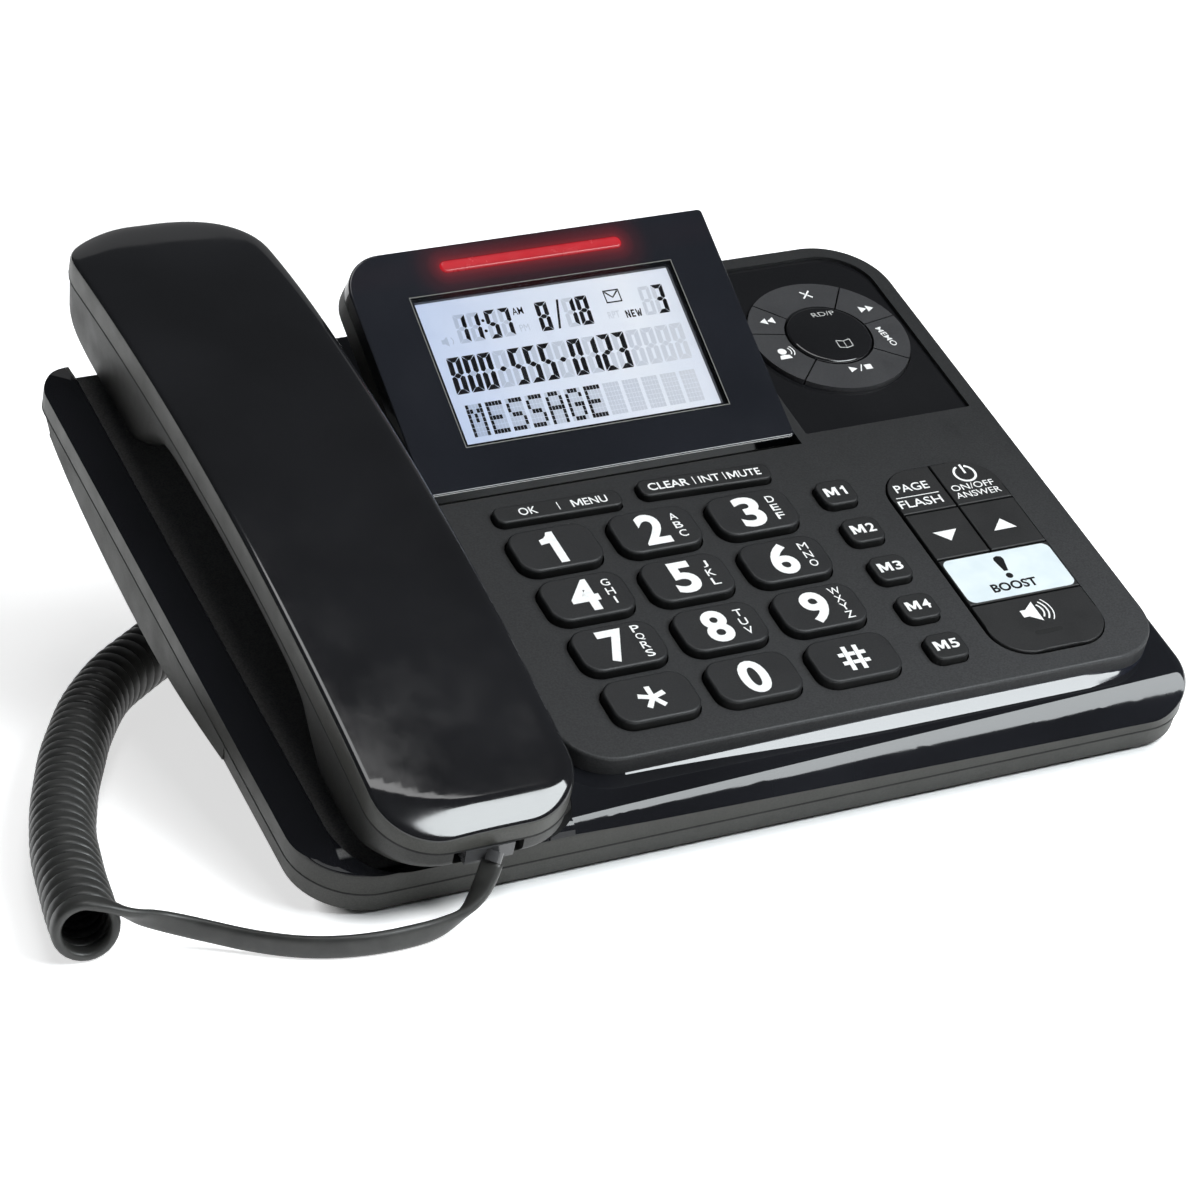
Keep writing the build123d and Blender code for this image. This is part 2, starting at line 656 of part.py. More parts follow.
def outer_profile():
    ThreePointArc((-100, crown(-100)), (10, crown(10)), (104, crown(104)))
    ThreePointArc((104, crown(104)), (120.5, crown(104) - 3.3), (132, crown(104) - 8.9))
    Line((132, crown(104) - 8.9), (132, crown(132, part_drop)))
    ThreePointArc((132, crown(132, part_drop)), (10, crown(10, part_drop)), (-100, crown(-100, part_drop)))
    Line((-100, crown(-100, part_drop)), (-100, crown(-100)))


# the room inside both shells
with BuildPart() as handset_room:
    with BuildSketch(deck.offset(-12)):
        with BuildLine():
            grip_outline(handset_wall)
        make_face()
    extrude(amount=34)
    with BuildSketch(side.offset(-100)):
        with BuildLine():
            ThreePointArc((-84.0, crown(-84, 2.6)), (10, crown(10, 2.4)), (106, crown(106, 2.8)))
            Polyline(
                (106, crown(106, 2.8)),
                (118.4, crown(118.4, 5.8)),
                (115.5, 4.6),
                (111.0, 1.0),
                (94.0, -8.8),
                (72.5, -8.8),
                (50.0, 6.6),
                (20.0, 8.2),
                (-10.0, 7.6),
                (-33.0, 3.8),
                (-51.0, -6.6),
                (-67.0, -6.6),
                (-77.0, -2.8),
                (-84.0, -1.2),
                (-84.0, crown(-84, 2.6)),
            )
        make_face()
    extrude(amount=200, mode=Mode.INTERSECT)

with BuildPart() as handset_upper:
    with BuildSketch(deck.offset(-6)):
        with BuildLine():
            grip_outline(0)
        make_face()
    extrude(amount=30)
    with BuildSketch(side.offset(-100)):
        with BuildLine():
            outer_profile()
        make_face()
    extrude(amount=200, mode=Mode.INTERSECT)
    # soft edge round the top
    top_edges = []
    for edge in handset_upper.edges():
        spot = deck.to_local_coords(edge.center())
        if spot.Z > crown(spot.Y, 1.0) and spot.Y < 104 and edge.length > 8:
            top_edges.append(edge)
    fillet(top_edges, radius=1.2)
    add(handset_room.part, mode=Mode.SUBTRACT)
put(handset_upper, "handset_upper")

with BuildPart() as handset_lower:
    with BuildSketch(deck.offset(-14)):
        with BuildLine():
            grip_outline(0.25)
        make_face()
    extrude(amount=34)
    with BuildSketch(side.offset(-100)):
        with BuildLine():
            ThreePointArc(
                (-100, crown(-100, part_drop + part_gap)),
                (10, crown(10, part_drop + part_gap)),
                (132, crown(132, part_drop + part_gap)),
            )
            Polyline(
                (132, crown(132, part_drop + part_gap)),
                (127.5, 0.5),
                (118.0, -6.0),
                (107.0, -10.2),
                (95.0, -11.0),
                (72.0, -11.0),
            )
            ThreePointArc((72.0, -11.0), (62.5, -4.5), (50.0, 4.0))
            ThreePointArc((50.0, 4.0), (8.0, 5.8), (-34.0, 1.5))
            ThreePointArc((-34.0, 1.5), (-42.0, -4.2), (-50.0, -8.8))
            Line((-50.0, -8.8), (-66.0, -8.8))
            Polyline(
                (-66.0, -8.8), (-76.0, -5.0), (-84.0, -2.9), (-100, -2.4), (-100, crown(-100, part_drop + part_gap))
            )
        make_face()
    extrude(amount=200, mode=Mode.INTERSECT)
    add(handset_room.part, mode=Mode.SUBTRACT)
    # slot for the plug in the front end
    with BuildSketch(Plane(origin=at(0, -90, 0), x_dir=(1, 0, 0), z_dir=way(0, -1, 0))):
        with Locations((jack_x, jack_n_handset)):
            RectangleRounded(16.6, 4.6, 1.2)
    extrude(amount=-13, mode=Mode.SUBTRACT)
    # sound holes over the receiver and the microphone
    with BuildSketch(deck.offset(-14)):
        with Locations(*[(-54.45 + 4.2 * i, 83.3 + 4.2 * j) for i in (-1, 0, 1) for j in (-1, 0, 1)]):
            Circle(0.9)
        with Locations((-57.45, -58.5), (-54.45, -58.5), (-51.45, -58.5)):
            Circle(0.7)
    extrude(amount=8, mode=Mode.SUBTRACT)
put(handset_lower, "handset_lower")

with BuildPart() as handset_receiver:
    with BuildSketch(deck.offset(-8.7)):
        with Locations((-54.45, 83.3)):
            Circle(10.4)
    extrude(amount=3.2)
    with BuildSketch(deck.offset(-5.5)):
        with Locations((-54.45, 83.3)):
            Circle(6.5)
    extrude(amount=2.6)
put(handset_receiver, "handset_receiver")

with BuildPart() as handset_microphone:
    with BuildSketch(deck.offset(-6.5)):
        with Locations((-54.45, -58.5)):
            Circle(4.9)
    extrude(amount=3.4)
put(handset_microphone, "handset_microphone")

with BuildPart() as handset_jack:
    with BuildSketch(deck.offset(-2.0)):
        with Locations((jack_x, (-76.9 - 66.0) / 2)):
            Rectangle(18.0, 76.9 - 66.0)
    extrude(amount=5.8)
    with BuildSketch(Plane(origin=at(0, -78, 0), x_dir=(1, 0, 0), z_dir=way(0, -1, 0))):
        with Locations((jack_x, jack_n_handset)):
            Rectangle(11.8, 4.0)
    extrude(amount=-8.6, mode=Mode.SUBTRACT)
put(handset_jack, "handset_jack")

# ================================================================ cord
def table(x, y, z):
    """A point given from the deck's origin in the ground plan, with its height over the table."""
    return Vector(origin_x + x, origin_y + y, z)


def run_radii(points):
    """Bend radii of a route: 0.45 of the shorter run over the tangent of half the turn."""
    radii = []
    for before, here, after in zip(points, points[1:], points[2:]):
        a, b = here - before, after - here
        turn = math.acos(max(-1.0, min(1.0, a.dot(b) / (a.length * b.length))))
        radii.append(0.45 * min(a.length, b.length) / math.tan(turn / 2))
    return radii


def tube(points, r, name):
    radii = run_radii(points)
    with BuildPart() as cord:
        with BuildLine() as route:
            FilletPolyline(*points, radius=radii)
        path = route.wires()[0]
        with BuildSketch(Plane(origin=path @ 0, z_dir=path % 0)):
            Circle(r)
        sweep(path=path)
    section = math.pi * r * r * path.length
    print(name, "radii", [round(v, 1) for v in radii], "length", round(path.length, 1))
    print(name, "volume", round(cord.part.volume, 1), "section times length", round(section, 1))
    put(cord, name)


coil_points = [
    table(-58.0, 88.6, coil_r),
    table(-74.8, 74.4, coil_r),
    table(-91.9, 58.5, coil_r),
    table(-109.3, 28.8, coil_r),
    table(-125.7, -8.0, coil_r),
    table(-133.5, -34.6, coil_r),
    table(-139.2, -60.6, coil_r),
]
tube(coil_points, coil_r, "cord_coil")

# from the coil's end ring along the table to the handset's plug
lead_points = [
    table(-55.4, -81.6, 14.4),
    table(-59.6, -83.9, 7.2),
    table(-68.0, -84.2, 2.8),
    table(-79.0, -84.9, 2.7),
    table(-89.0, -83.5, 2.7),
    table(-98.0, -79.5, 2.7),
    table(-106.5, -72.5, 2.9),
    table(-114.5, -65.3, 4.0),
    table(-122.8, -61.8, 6.6),
    table(-130.0, -63.0, 10.2),
    table(-136.6, -61.6, 12.6),
]
tube(lead_points, cord_r, "cord_lead")

# from the plug in the base down to the coil's rear end
plug_face = at(-53.2, jack_v, jack_n)
base_lead_points = [
    plug_face,
    plug_face + Vector(-12.3, 0, 0),
    plug_face + Vector(-20.8, 2.5, -8.8),
    plug_face + Vector(-20.3, 7.0, -21.3),
    plug_face + Vector(-10.8, 8.0, -32.8),
    plug_face + Vector(-1.8, 0.6, -41.9),
]
tube(base_lead_points, cord_r, "base_lead")

with BuildPart() as handset_plug:
    with BuildSketch(Plane(origin=at(0, -86.0, 0), x_dir=(1, 0, 0), z_dir=way(0, -1, 0))):
        with Locations((jack_x, jack_n_handset)):
            Rectangle(11.6, 3.8)
    extrude(amount=-15.6)
    # boot that ends on the cord
    start, aim = lead_points[0], (lead_points[0] - lead_points[1]).normalized()
    with BuildSketch(Plane(origin=start, z_dir=aim)):
        Circle(cord_r + 0.1)
    extrude(amount=2.4)
put(handset_plug, "handset_plug")

with BuildPart() as base_plug:
    with BuildSketch(Plane(origin=at(-53.2, 0, 0), x_dir=way(0, 1, 0), z_dir=(1, 0, 0))):
        with Locations((jack_v, jack_n)):
            RectangleRounded(7.6, 6.4, 0.6)
    extrude(amount=16.8)
put(base_plug, "base_plug")

# ================================================================ under and inside the base
with BuildPart() as base_jack:
    with BuildSketch(Plane(origin=at(bay_x0 + 2.2, 0, 0), x_dir=way(0, 1, 0), z_dir=(1, 0, 0))):
        with Locations((jack_v, jack_n)):
            Rectangle(9.8, 9.8)
            Rectangle(7.8, 6.6, mode=Mode.SUBTRACT)
    extrude(amount=11.0)
    with BuildSketch(Plane(origin=at(bay_x0 + 2.2 + 9.0, 0, 0), x_dir=way(0, 1, 0), z_dir=(1, 0, 0))):
        with Locations((jack_v, jack_n)):
            Rectangle(9.8, 9.8)
    extrude(amount=2.0)
put(base_jack, "base_jack")

with BuildPart() as rear_jack_block:
    with BuildSketch(Plane(origin=at(0, bay_v1 - 2.2, 0), x_dir=(1, 0, 0), z_dir=way(0, -1, 0))):
        with Locations((rear_jack_x, jack_n)):
            Rectangle(38.0, 9.8)
    extrude(amount=14.0)
    with BuildSketch(Plane(origin=at(0, bay_v1 - 2.2, 0), x_dir=(1, 0, 0), z_dir=way(0, -1, 0))):
        with Locations((rear_jack_x, jack_n)):
            Rectangle(33.6, 8.6)
    extrude(amount=-2.2)
    # modular line socket and round supply socket
    with BuildSketch(Plane(origin=at(0, bay_v1 + 1, 0), x_dir=(1, 0, 0), z_dir=way(0, -1, 0))):
        with Locations((rear_jack_x - 8.5, jack_n)):
            Rectangle(11.9, 6.8)
        with Locations((rear_jack_x + 9.0, jack_n)):
            Circle(3.4)
    extrude(amount=12.5, mode=Mode.SUBTRACT)
    # contact pin of the supply socket
    with BuildSketch(Plane(origin=at(0, bay_v1 - 0.6, 0), x_dir=(1, 0, 0), z_dir=way(0, -1, 0))):
        with Locations((rear_jack_x + 9.0, jack_n)):
            Circle(0.95)
    extrude(amount=12.5)
put(rear_jack_block, "rear_jack_block")

stand_x0, stand_x1 = -44.0, 90.0
stand_wall = 2.4
with BuildPart() as desk_stand:
    top_front, top_back = at(0, 4.0, bay_n), at(0, 88.0, bay_n)
    foot = 1.2
    with BuildSketch(Plane(origin=(origin_x + stand_x0, 0, 0), x_dir=(0, 1, 0), z_dir=(1, 0, 0))):
        with BuildLine():
            Polyline(
                (top_front.Y, top_front.Z),
                (top_back.Y, top_back.Z),
                (top_back.Y + 1.5, foot),
                (top_front.Y + 14.0, foot),
                (top_front.Y, top_front.Z),
            )
        make_face()
    extrude(amount=stand_x1 - stand_x0)
    upright = desk_stand.edges().filter_by(lambda e: abs(e.center().X - (origin_x + stand_x0)) < 0.1 or abs(e.center().X - (origin_x + stand_x1)) < 0.1)
    fillet([e for e in upright if e.center().Z < 40 and e.center().Z > foot + 1], radius=2.0)
    # open from below
    with BuildSketch(Plane(origin=(origin_x + stand_x0 + stand_wall, 0, 0), x_dir=(0, 1, 0), z_dir=(1, 0, 0))):
        with BuildLine():
            Polyline(
                (top_front.Y + 4.2, top_front.Z - 1.8),
                (top_back.Y - stand_wall, top_back.Z - 3.6),
                (top_back.Y + 1.5 - stand_wall, foot - 1.0),
                (top_front.Y + 14.0 + stand_wall, foot - 1.0),
                (top_front.Y + 4.2, top_front.Z - 1.8),
            )
        make_face()
    extrude(amount=stand_x1 - stand_x0 - 2 * stand_wall, mode=Mode.SUBTRACT)
    # two bosses that carry the rear pads
    for x in (stand_x0 + 9.0, stand_x1 - 9.0):
        with BuildSketch(Plane(origin=(origin_x + x, top_back.Y - 8.0, foot))):
            Circle(7.4)
        extrude(amount=6.0)
put(desk_stand, "desk_stand")

with BuildPart() as rubber_feet:
    for x in (stand_x0 + 9.0, stand_x1 - 9.0):
        with BuildSketch(Plane(origin=(origin_x + x, top_back.Y - 8.0, 0.0))):
            Circle(6.5)
        extrude(amount=foot)
    # wedge pads under the front edge
    for x in (-62.0, 108.0):
        with BuildSketch(Plane(origin=(origin_x + x - 9.0, 0, 0), x_dir=(0, 1, 0), z_dir=(1, 0, 0))):
            a, b = at(0, -74.5, n_bottom), at(0, -66.0, n_bottom)
            with BuildLine():
                Polyline((a.Y, 0), (b.Y, 0), (b.Y, b.Z), (a.Y, a.Z), (a.Y, 0))
            make_face()
        extrude(amount=18.0)
put(rubber_feet, "rubber_feet")

screw_spots = [(-15.0, -62.0), (122.0, -60.0), (127.0, 20.0), (24.0, -62.0)]
with BuildPart() as case_screws:
    for spot in screw_spots:
        with BuildSketch(deck.offset(n_bottom + 0.1)):
            with Locations(spot):
                Circle(2.6)
        extrude(amount=1.9)
        with BuildSketch(deck.offset(n_bottom + 1.0)):
            with Locations(spot):
                Circle(1.47)
        extrude(amount=8.4)
        with BuildSketch(deck.offset(n_bottom + 0.1)):
            with Locations(spot):
                Rectangle(3.2, 0.7)
                Rectangle(0.7, 3.2)
        extrude(amount=0.9, mode=Mode.SUBTRACT)
put(case_screws, "case_screws")


def board_outline(inset):
    with Locations((53.0, (-60.0 + 17.5) / 2)):
        Rectangle(143.0 - 2 * inset, 77.5 - 2 * inset)
    with Locations((104.0, 40.0)):
        Rectangle(41.0 - 2 * inset, 88.0 - 2 * inset)
    with Locations(*screw_spots):
        Circle(4.0 + inset, mode=Mode.SUBTRACT)


with BuildPart() as main_board:
    with BuildSketch(deck.offset(-9.6)):
        board_outline(0)
    extrude(amount=1.6)
put(main_board, "main_board")

pads = [(x, v, 12.0, 7.0) for x, v in dial_spots]
pads += [(x, v, 6.0, 5.0) for x, v in memory_spots]
pads += [(ok_bar[0] + d, ok_bar[1] - 0.6, 5.0, 3.4) for d in (-10.0, 10.0)]
pads += [(mute_bar[0] + d, mute_bar[1] - 0.9, 5.0, 3.4) for d in (-10.0, 10.0)]
pads += [((a + b) / 2, (c + d) / 2, 7.0, 7.0) for a, b, c, d in cluster_cells.values()]
for k in range(6):
    a = math.radians((ring_cuts[k] + ring_cuts[(k + 1) % 6] + (360.0 if k == 5 else 0.0)) / 2)
    pads.append((nav_x + 16.0 * math.cos(a), nav_v + 16.0 * math.sin(a), 5.0, 5.0))
pads.append((nav_x, nav_v, 8.0, 8.0))
with BuildPart() as keypad_membrane:
    with BuildSketch(deck.offset(-8.0)):
        board_outline(0.5)
    extrude(amount=0.8)
    with BuildSketch(deck.offset(-8.0)):
        for x, v, w, d in pads:
            with Locations((x, v)):
                RectangleRounded(w, d, 1.5)
    extrude(amount=3.0)
put(keypad_membrane, "keypad_membrane")

with BuildPart() as loudspeaker:
    with BuildSketch(deck.offset(n_bottom + 2.0)):
        with Locations((46.0, -32.0)):
            Circle(20.0)
    extrude(amount=1.4)
    with BuildSketch(deck.offset(n_bottom + 3.4)):
        with Locations((46.0, -32.0)):
            Circle(18.0)
    with BuildSketch(deck.offset(n_bottom + 5.6)):
        with Locations((46.0, -32.0)):
            Circle(9.5)
    loft()
    with BuildSketch(deck.offset(n_bottom + 5.6)):
        with Locations((46.0, -32.0)):
            Circle(9.5)
    extrude(amount=2.2)
put(loudspeaker, "loudspeaker")

with BuildPart() as hook_plunger:
    with BuildSketch(deck.offset(-24.0)):
        with Locations((-37.5, 69.0)):
            Circle(4.0)
    extrude(amount=24.0 - 11.6)
    fillet(hook_plunger.faces().sort_by(Axis((0, 0, 0), way(0, 0, 1)))[-1].edges(), radius=0.8)
    with BuildSketch(deck.offset(-19.2)):
        with Locations((-37.5, 69.0)):
            Circle(5.5)
    extrude(amount=1.4)
put(hook_plunger, "hook_plunger")
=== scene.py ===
import bpy, bmesh, math
from mathutils import Vector, Matrix


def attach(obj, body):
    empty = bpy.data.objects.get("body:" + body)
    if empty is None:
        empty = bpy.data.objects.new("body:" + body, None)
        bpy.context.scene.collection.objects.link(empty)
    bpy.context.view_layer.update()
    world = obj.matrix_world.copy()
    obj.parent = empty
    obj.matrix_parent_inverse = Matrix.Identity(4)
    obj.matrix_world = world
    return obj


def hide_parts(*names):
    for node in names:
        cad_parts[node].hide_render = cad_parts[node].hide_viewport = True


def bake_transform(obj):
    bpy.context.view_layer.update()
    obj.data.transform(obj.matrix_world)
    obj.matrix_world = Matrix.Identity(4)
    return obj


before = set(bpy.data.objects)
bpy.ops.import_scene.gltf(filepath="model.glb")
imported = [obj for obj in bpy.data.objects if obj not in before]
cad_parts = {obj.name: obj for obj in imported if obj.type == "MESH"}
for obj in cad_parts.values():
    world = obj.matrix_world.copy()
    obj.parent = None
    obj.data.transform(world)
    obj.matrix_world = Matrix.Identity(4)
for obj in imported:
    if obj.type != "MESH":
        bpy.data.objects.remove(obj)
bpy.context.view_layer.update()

scene = bpy.context.scene

# ------------------------------------------------------------------ the deck frame, as in the CAD (mm in, metres out)
TILT = math.radians(22.0)
CT, ST = math.cos(TILT), math.sin(TILT)
OX, OY = -22.05, -18.47
OZ = 79.0 * ST + 18.1 * CT + 0.8


def at(x, v, n):
    return Vector((OX + x, OY + v * CT - n * ST, OZ + v * ST + n * CT)) / 1000.0


def way(x, v, n):
    return Vector((x, v * CT - n * ST, v * ST + n * CT))


def table(x, y, z):
    return Vector((OX + x, OY + y, z)) / 1000.0


FACE = math.radians(42.0)
CF, SF = math.cos(FACE), math.sin(FACE)
D0 = at(0, 25.0, 0.5)


def disp(x, h, d):
    """x to the right, h up the display's face, d out of it."""
    return D0 + Vector((x, h * CF - d * SF, h * SF + d * CF)) / 1000.0


def deck_of(p):
    q = p * 1000.0
    x, y, z = q.x - OX, q.y - OY, q.z - OZ
    return x, y * CT + z * ST, -y * ST + z * CT


# ------------------------------------------------------------------ camera
cam_data = bpy.data.cameras.new("camera")
cam_data.sensor_width = 36.0
cam_data.sensor_fit = "HORIZONTAL"
cam_data.lens = 4195.116 / 1200.0 * 36.0
cam_data.clip_end = 20.0
cam = bpy.data.objects.new("camera", cam_data)
scene.collection.objects.link(cam)
right = Vector((0.890986, -0.454030, 0.000546)).normalized()
down = Vector((-0.165540, -0.325974, -0.930773)).normalized()
forward = Vector((0.422777, 0.829215, -0.365598)).normalized()
cam.matrix_world = Matrix.Translation((-0.424307, -0.830678, 0.391698)) @ Matrix(
    ((right.x, -down.x, -forward.x), (right.y, -down.y, -forward.y), (right.z, -down.z, -forward.z))
).to_4x4()
scene.camera = cam


# ------------------------------------------------------------------ small helpers
def link(obj):
    scene.collection.objects.link(obj)
    return obj


def mesh_object(name, verts, faces, material=None, smooth=True):
    mesh = bpy.data.meshes.new(name)
    mesh.from_pydata([tuple(v) for v in verts], [], faces)
    bm = bmesh.new()
    bm.from_mesh(mesh)
    bmesh.ops.remove_doubles(bm, verts=bm.verts, dist=1e-7)
    bmesh.ops.recalc_face_normals(bm, faces=bm.faces)
    bm.to_mesh(mesh)
    bm.free()
    for p in mesh.polygons:
        p.use_smooth = smooth
    obj = link(bpy.data.objects.new(name, mesh))
    if material:
        mesh.materials.append(material)
    return obj


def sharp_by_angle(obj, degrees):
    """Marks edges sharper than the angle, so that flat faces stay flat."""
    bm = bmesh.new()
    bm.from_mesh(obj.data)
    for e in bm.edges:
        e.smooth = len(e.link_faces) == 2 and e.calc_face_angle(0.0) < math.radians(degrees)
    bm.to_mesh(obj.data)
    bm.free()


# ------------------------------------------------------------------ materials
def new_material(name):
    m = bpy.data.materials.new(name)
    m.use_nodes = True
    t = m.node_tree
    b = t.nodes["Principled BSDF"]
    return m, t, b


def coords(t, scale=1.0):
    c = t.nodes.new("ShaderNodeTexCoord")
    return c.outputs["Object"]


def noise(t, scale, detail=3.0, rough=0.5, vec=None):
    n = t.nodes.new("ShaderNodeTexNoise")
    n.inputs["Scale"].default_value = scale
    n.inputs["Detail"].default_value = detail
    n.inputs["Roughness"].default_value = rough
    t.links.new(vec if vec is not None else coords(t), n.inputs["Vector"])
    return n.outputs["Fac"]


def ramp(t, fac, stops):
    r = t.nodes.new("ShaderNodeValToRGB")
    el = r.color_ramp.elements
    while len(el) > len(stops):
        el.remove(el[-1])
    while len(el) < len(stops):
        el.new(0.5)
    for e, (p, c) in zip(el, stops):
        e.position = p
        e.color = (*c, 1.0) if len(c) == 3 else c
    t.links.new(fac, r.inputs["Fac"])
    return r.outputs["Color"]


def map_range(t, fac, a, b, c, d):
    r = t.nodes.new("ShaderNodeMapRange")
    for k, v in zip(("From Min", "From Max", "To Min", "To Max"), (a, b, c, d)):
        r.inputs[k].default_value = v
    t.links.new(fac, r.inputs["Value"])
    return r.outputs["Result"]


def bump(t, b, height, strength, distance, normal=None):
    n = t.nodes.new("ShaderNodeBump")
    n.inputs["Strength"].default_value = strength
    n.inputs["Distance"].default_value = distance
    t.links.new(height, n.inputs["Height"])
    if normal is not None:
        t.links.new(normal, n.inputs["Normal"])
    t.links.new(n.outputs["Normal"], b.inputs["Normal"])
    return n.outputs["Normal"]


def deck_coords(t, origin=None, turn=TILT):
    """Separate x, v, n sockets in metres, in the deck's own directions."""
    c = t.nodes.new("ShaderNodeTexCoord")
    m = t.nodes.new("ShaderNodeMapping")
    m.vector_type = "TEXTURE"
    m.inputs["Location"].default_value = tuple(origin if origin is not None else at(0, 0, 0))
    m.inputs["Rotation"].default_value = (turn, 0, 0)
    t.links.new(c.outputs["Object"], m.inputs["Vector"])
    q = t.nodes.new("ShaderNodeSeparateXYZ")
    t.links.new(m.outputs["Vector"], q.inputs["Vector"])
    return q.outputs["X"], q.outputs["Y"], q.outputs["Z"]


def times(t, *facs):
    out = facs[0]
    for f in facs[1:]:
        m = t.nodes.new("ShaderNodeMath")
        m.operation = "MULTIPLY"
        t.links.new(out, m.inputs[0])
        t.links.new(f, m.inputs[1])
        out = m.outputs["Value"]
    return out


def blend_colours(t, fac, a, b):
    m = t.nodes.new("ShaderNodeMix")
    m.data_type = "RGBA"
    t.links.new(fac, m.inputs[0])
    t.links.new(a, m.inputs[6])
    t.links.new(b, m.inputs[7])
    return m.outputs[2]


def blend_values(t, fac, a, b):
    m = t.nodes.new("ShaderNodeMix")
    m.data_type = "FLOAT"
    t.links.new(fac, m.inputs[0])
    t.links.new(a, m.inputs[2])
    t.links.new(b, m.inputs[3])
    return m.outputs[0]


def gloss(name, low, high, rough=(0.05, 0.13), coat=0.0):
    """Moulded high-gloss plastic: colour varies faintly, and a haze of wiping marks varies the gloss."""
    m, t, b = new_material(name)
    c = coords(t)
    t.links.new(ramp(t, noise(t, 22.0, 2.0, 0.5, c), [(0.35, low), (0.65, high)]), b.inputs["Base Color"])
    t.links.new(map_range(t, noise(t, 60.0, 5.0, 0.65, c), 0.35, 0.7, rough[0], rough[1]), b.inputs["Roughness"])
    bump(t, b, noise(t, 900.0, 2.0, 0.5, c), 0.02, 0.00002)
    b.inputs["IOR"].default_value = 1.55
    b.inputs["Specular IOR Level"].default_value = 0.6
    return m


def case_gloss(name):
    """The slab's upper case: high gloss outside, spark-eroded and matte inside the handset's trough, where the colour
    is painted lighter in place of fill light.
    """
    m, t, b = new_material(name)
    c = coords(t)
    x, v, n = deck_coords(t)
    inside = times(
        t,
        map_range(t, x, -0.0839, -0.0836, 0, 1),
        map_range(t, x, -0.0272, -0.0269, 1, 0),
        map_range(t, n, -0.0052, -0.0050, 1, 0),
        map_range(t, v, -0.0735, -0.0725, 0, 1),
    )
    fine = noise(t, 2300.0, 2.0, 0.6, c)
    shiny = ramp(t, noise(t, 22.0, 2.0, 0.5, c), [(0.35, (0.0075, 0.0078, 0.0095)), (0.65, (0.0105, 0.011, 0.0135))])
    # painted light: the trough's grain is real, but its matte colour is far lighter than the plastic, standing in for
    # fill light that doesn't reach under the handset
    matte = ramp(t, fine, [(0.38, (0.100, 0.100, 0.099)), (0.62, (0.160, 0.160, 0.158))])
    haze = map_range(t, noise(t, 60.0, 5.0, 0.65, c), 0.35, 0.7, 0.05, 0.12)
    dull = map_range(t, noise(t, 130.0, 3.0, 0.5, c), 0.3, 0.7, 0.5, 0.62)
    # the outer wall is satin: everything that faces sideways rather than up the deck's normal
    g = t.nodes.new("ShaderNodeTexCoord")
    lean = t.nodes.new("ShaderNodeVectorMath")
    lean.operation = "DOT_PRODUCT"
    t.links.new(g.outputs["Normal"], lean.inputs[0])
    lean.inputs[1].default_value = tuple(way(0, 0, 1))
    wall = map_range(t, lean.outputs["Value"], 0.12, 0.28, 1.0, 0.0)
    satin = map_range(t, noise(t, 150.0, 3.0, 0.5, c), 0.3, 0.7, 0.34, 0.44)
    t.links.new(blend_values(t, inside, blend_values(t, wall, haze, satin), dull), b.inputs["Roughness"])
    olive = ramp(t, fine, [(0.38, (0.014, 0.014, 0.0115)), (0.62, (0.022, 0.022, 0.018))])
    t.links.new(blend_colours(t, inside, blend_colours(t, wall, shiny, olive), matte), b.inputs["Base Color"])
    bump(t, b, times(t, fine, inside), 0.5, 0.00005)
    b.inputs["IOR"].default_value = 1.42
    return m


def key_grain(name, low, high, dark, top, rough, origin=None, turn=TILT):
    """A key: satin on top, with painted shade making it much darker down its sides, where the gap keeps the light out.
    """
    m, t, b = new_material(name)
    c = coords(t)
    x, v, n = deck_coords(t)
    fine = noise(t, 3200.0, 2.0, 0.6, c)
    face = ramp(t, fine, [(0.38, low), (0.62, high)])
    # painted shade: below the top, the key's sides take the dark colour in place of the shade in the gap round it
    side = ramp(t, fine, [(0.3, dark), (0.7, tuple(1.3 * k for k in dark))])
    t.links.new(blend_colours(t, map_range(t, n, top - 0.0011, top - 0.0004, 0, 1), side, face), b.inputs["Base Color"])
    t.links.new(map_range(t, noise(t, 130.0, 3.0, 0.5, c), 0.3, 0.7, rough - 0.06, rough + 0.06), b.inputs["Roughness"])
    bump(t, b, fine, 0.35, 0.00003)
    b.inputs["Specular IOR Level"].default_value = 0.4
    return m


def grained(name, low, high, rough, grain=2600.0, depth=0.00004, strength=0.5):
    """Spark-eroded matte plastic: fine even grain in colour, gloss and relief."""
    m, t, b = new_material(name)
    c = coords(t)
    fine = noise(t, grain, 2.0, 0.6, c)
    t.links.new(ramp(t, fine, [(0.38, low), (0.62, high)]), b.inputs["Base Color"])
    t.links.new(map_range(t, noise(t, 130.0, 3.0, 0.5, c), 0.3, 0.7, rough - 0.06, rough + 0.06), b.inputs["Roughness"])
    bump(t, b, fine, strength, depth)
    return m


def rubber(name, low, high, rough=0.5):
    m, t, b = new_material(name)
    c = coords(t)
    t.links.new(ramp(t, noise(t, 300.0, 3.0, 0.5, c), [(0.35, low), (0.65, high)]), b.inputs["Base Color"])
    t.links.new(map_range(t, noise(t, 80.0, 3.0, 0.5, c), 0.3, 0.7, rough - 0.08, rough + 0.08), b.inputs["Roughness"])
    bump(t, b, noise(t, 1500.0, 2.0, 0.5, c), 0.25, 0.00003)
    return m


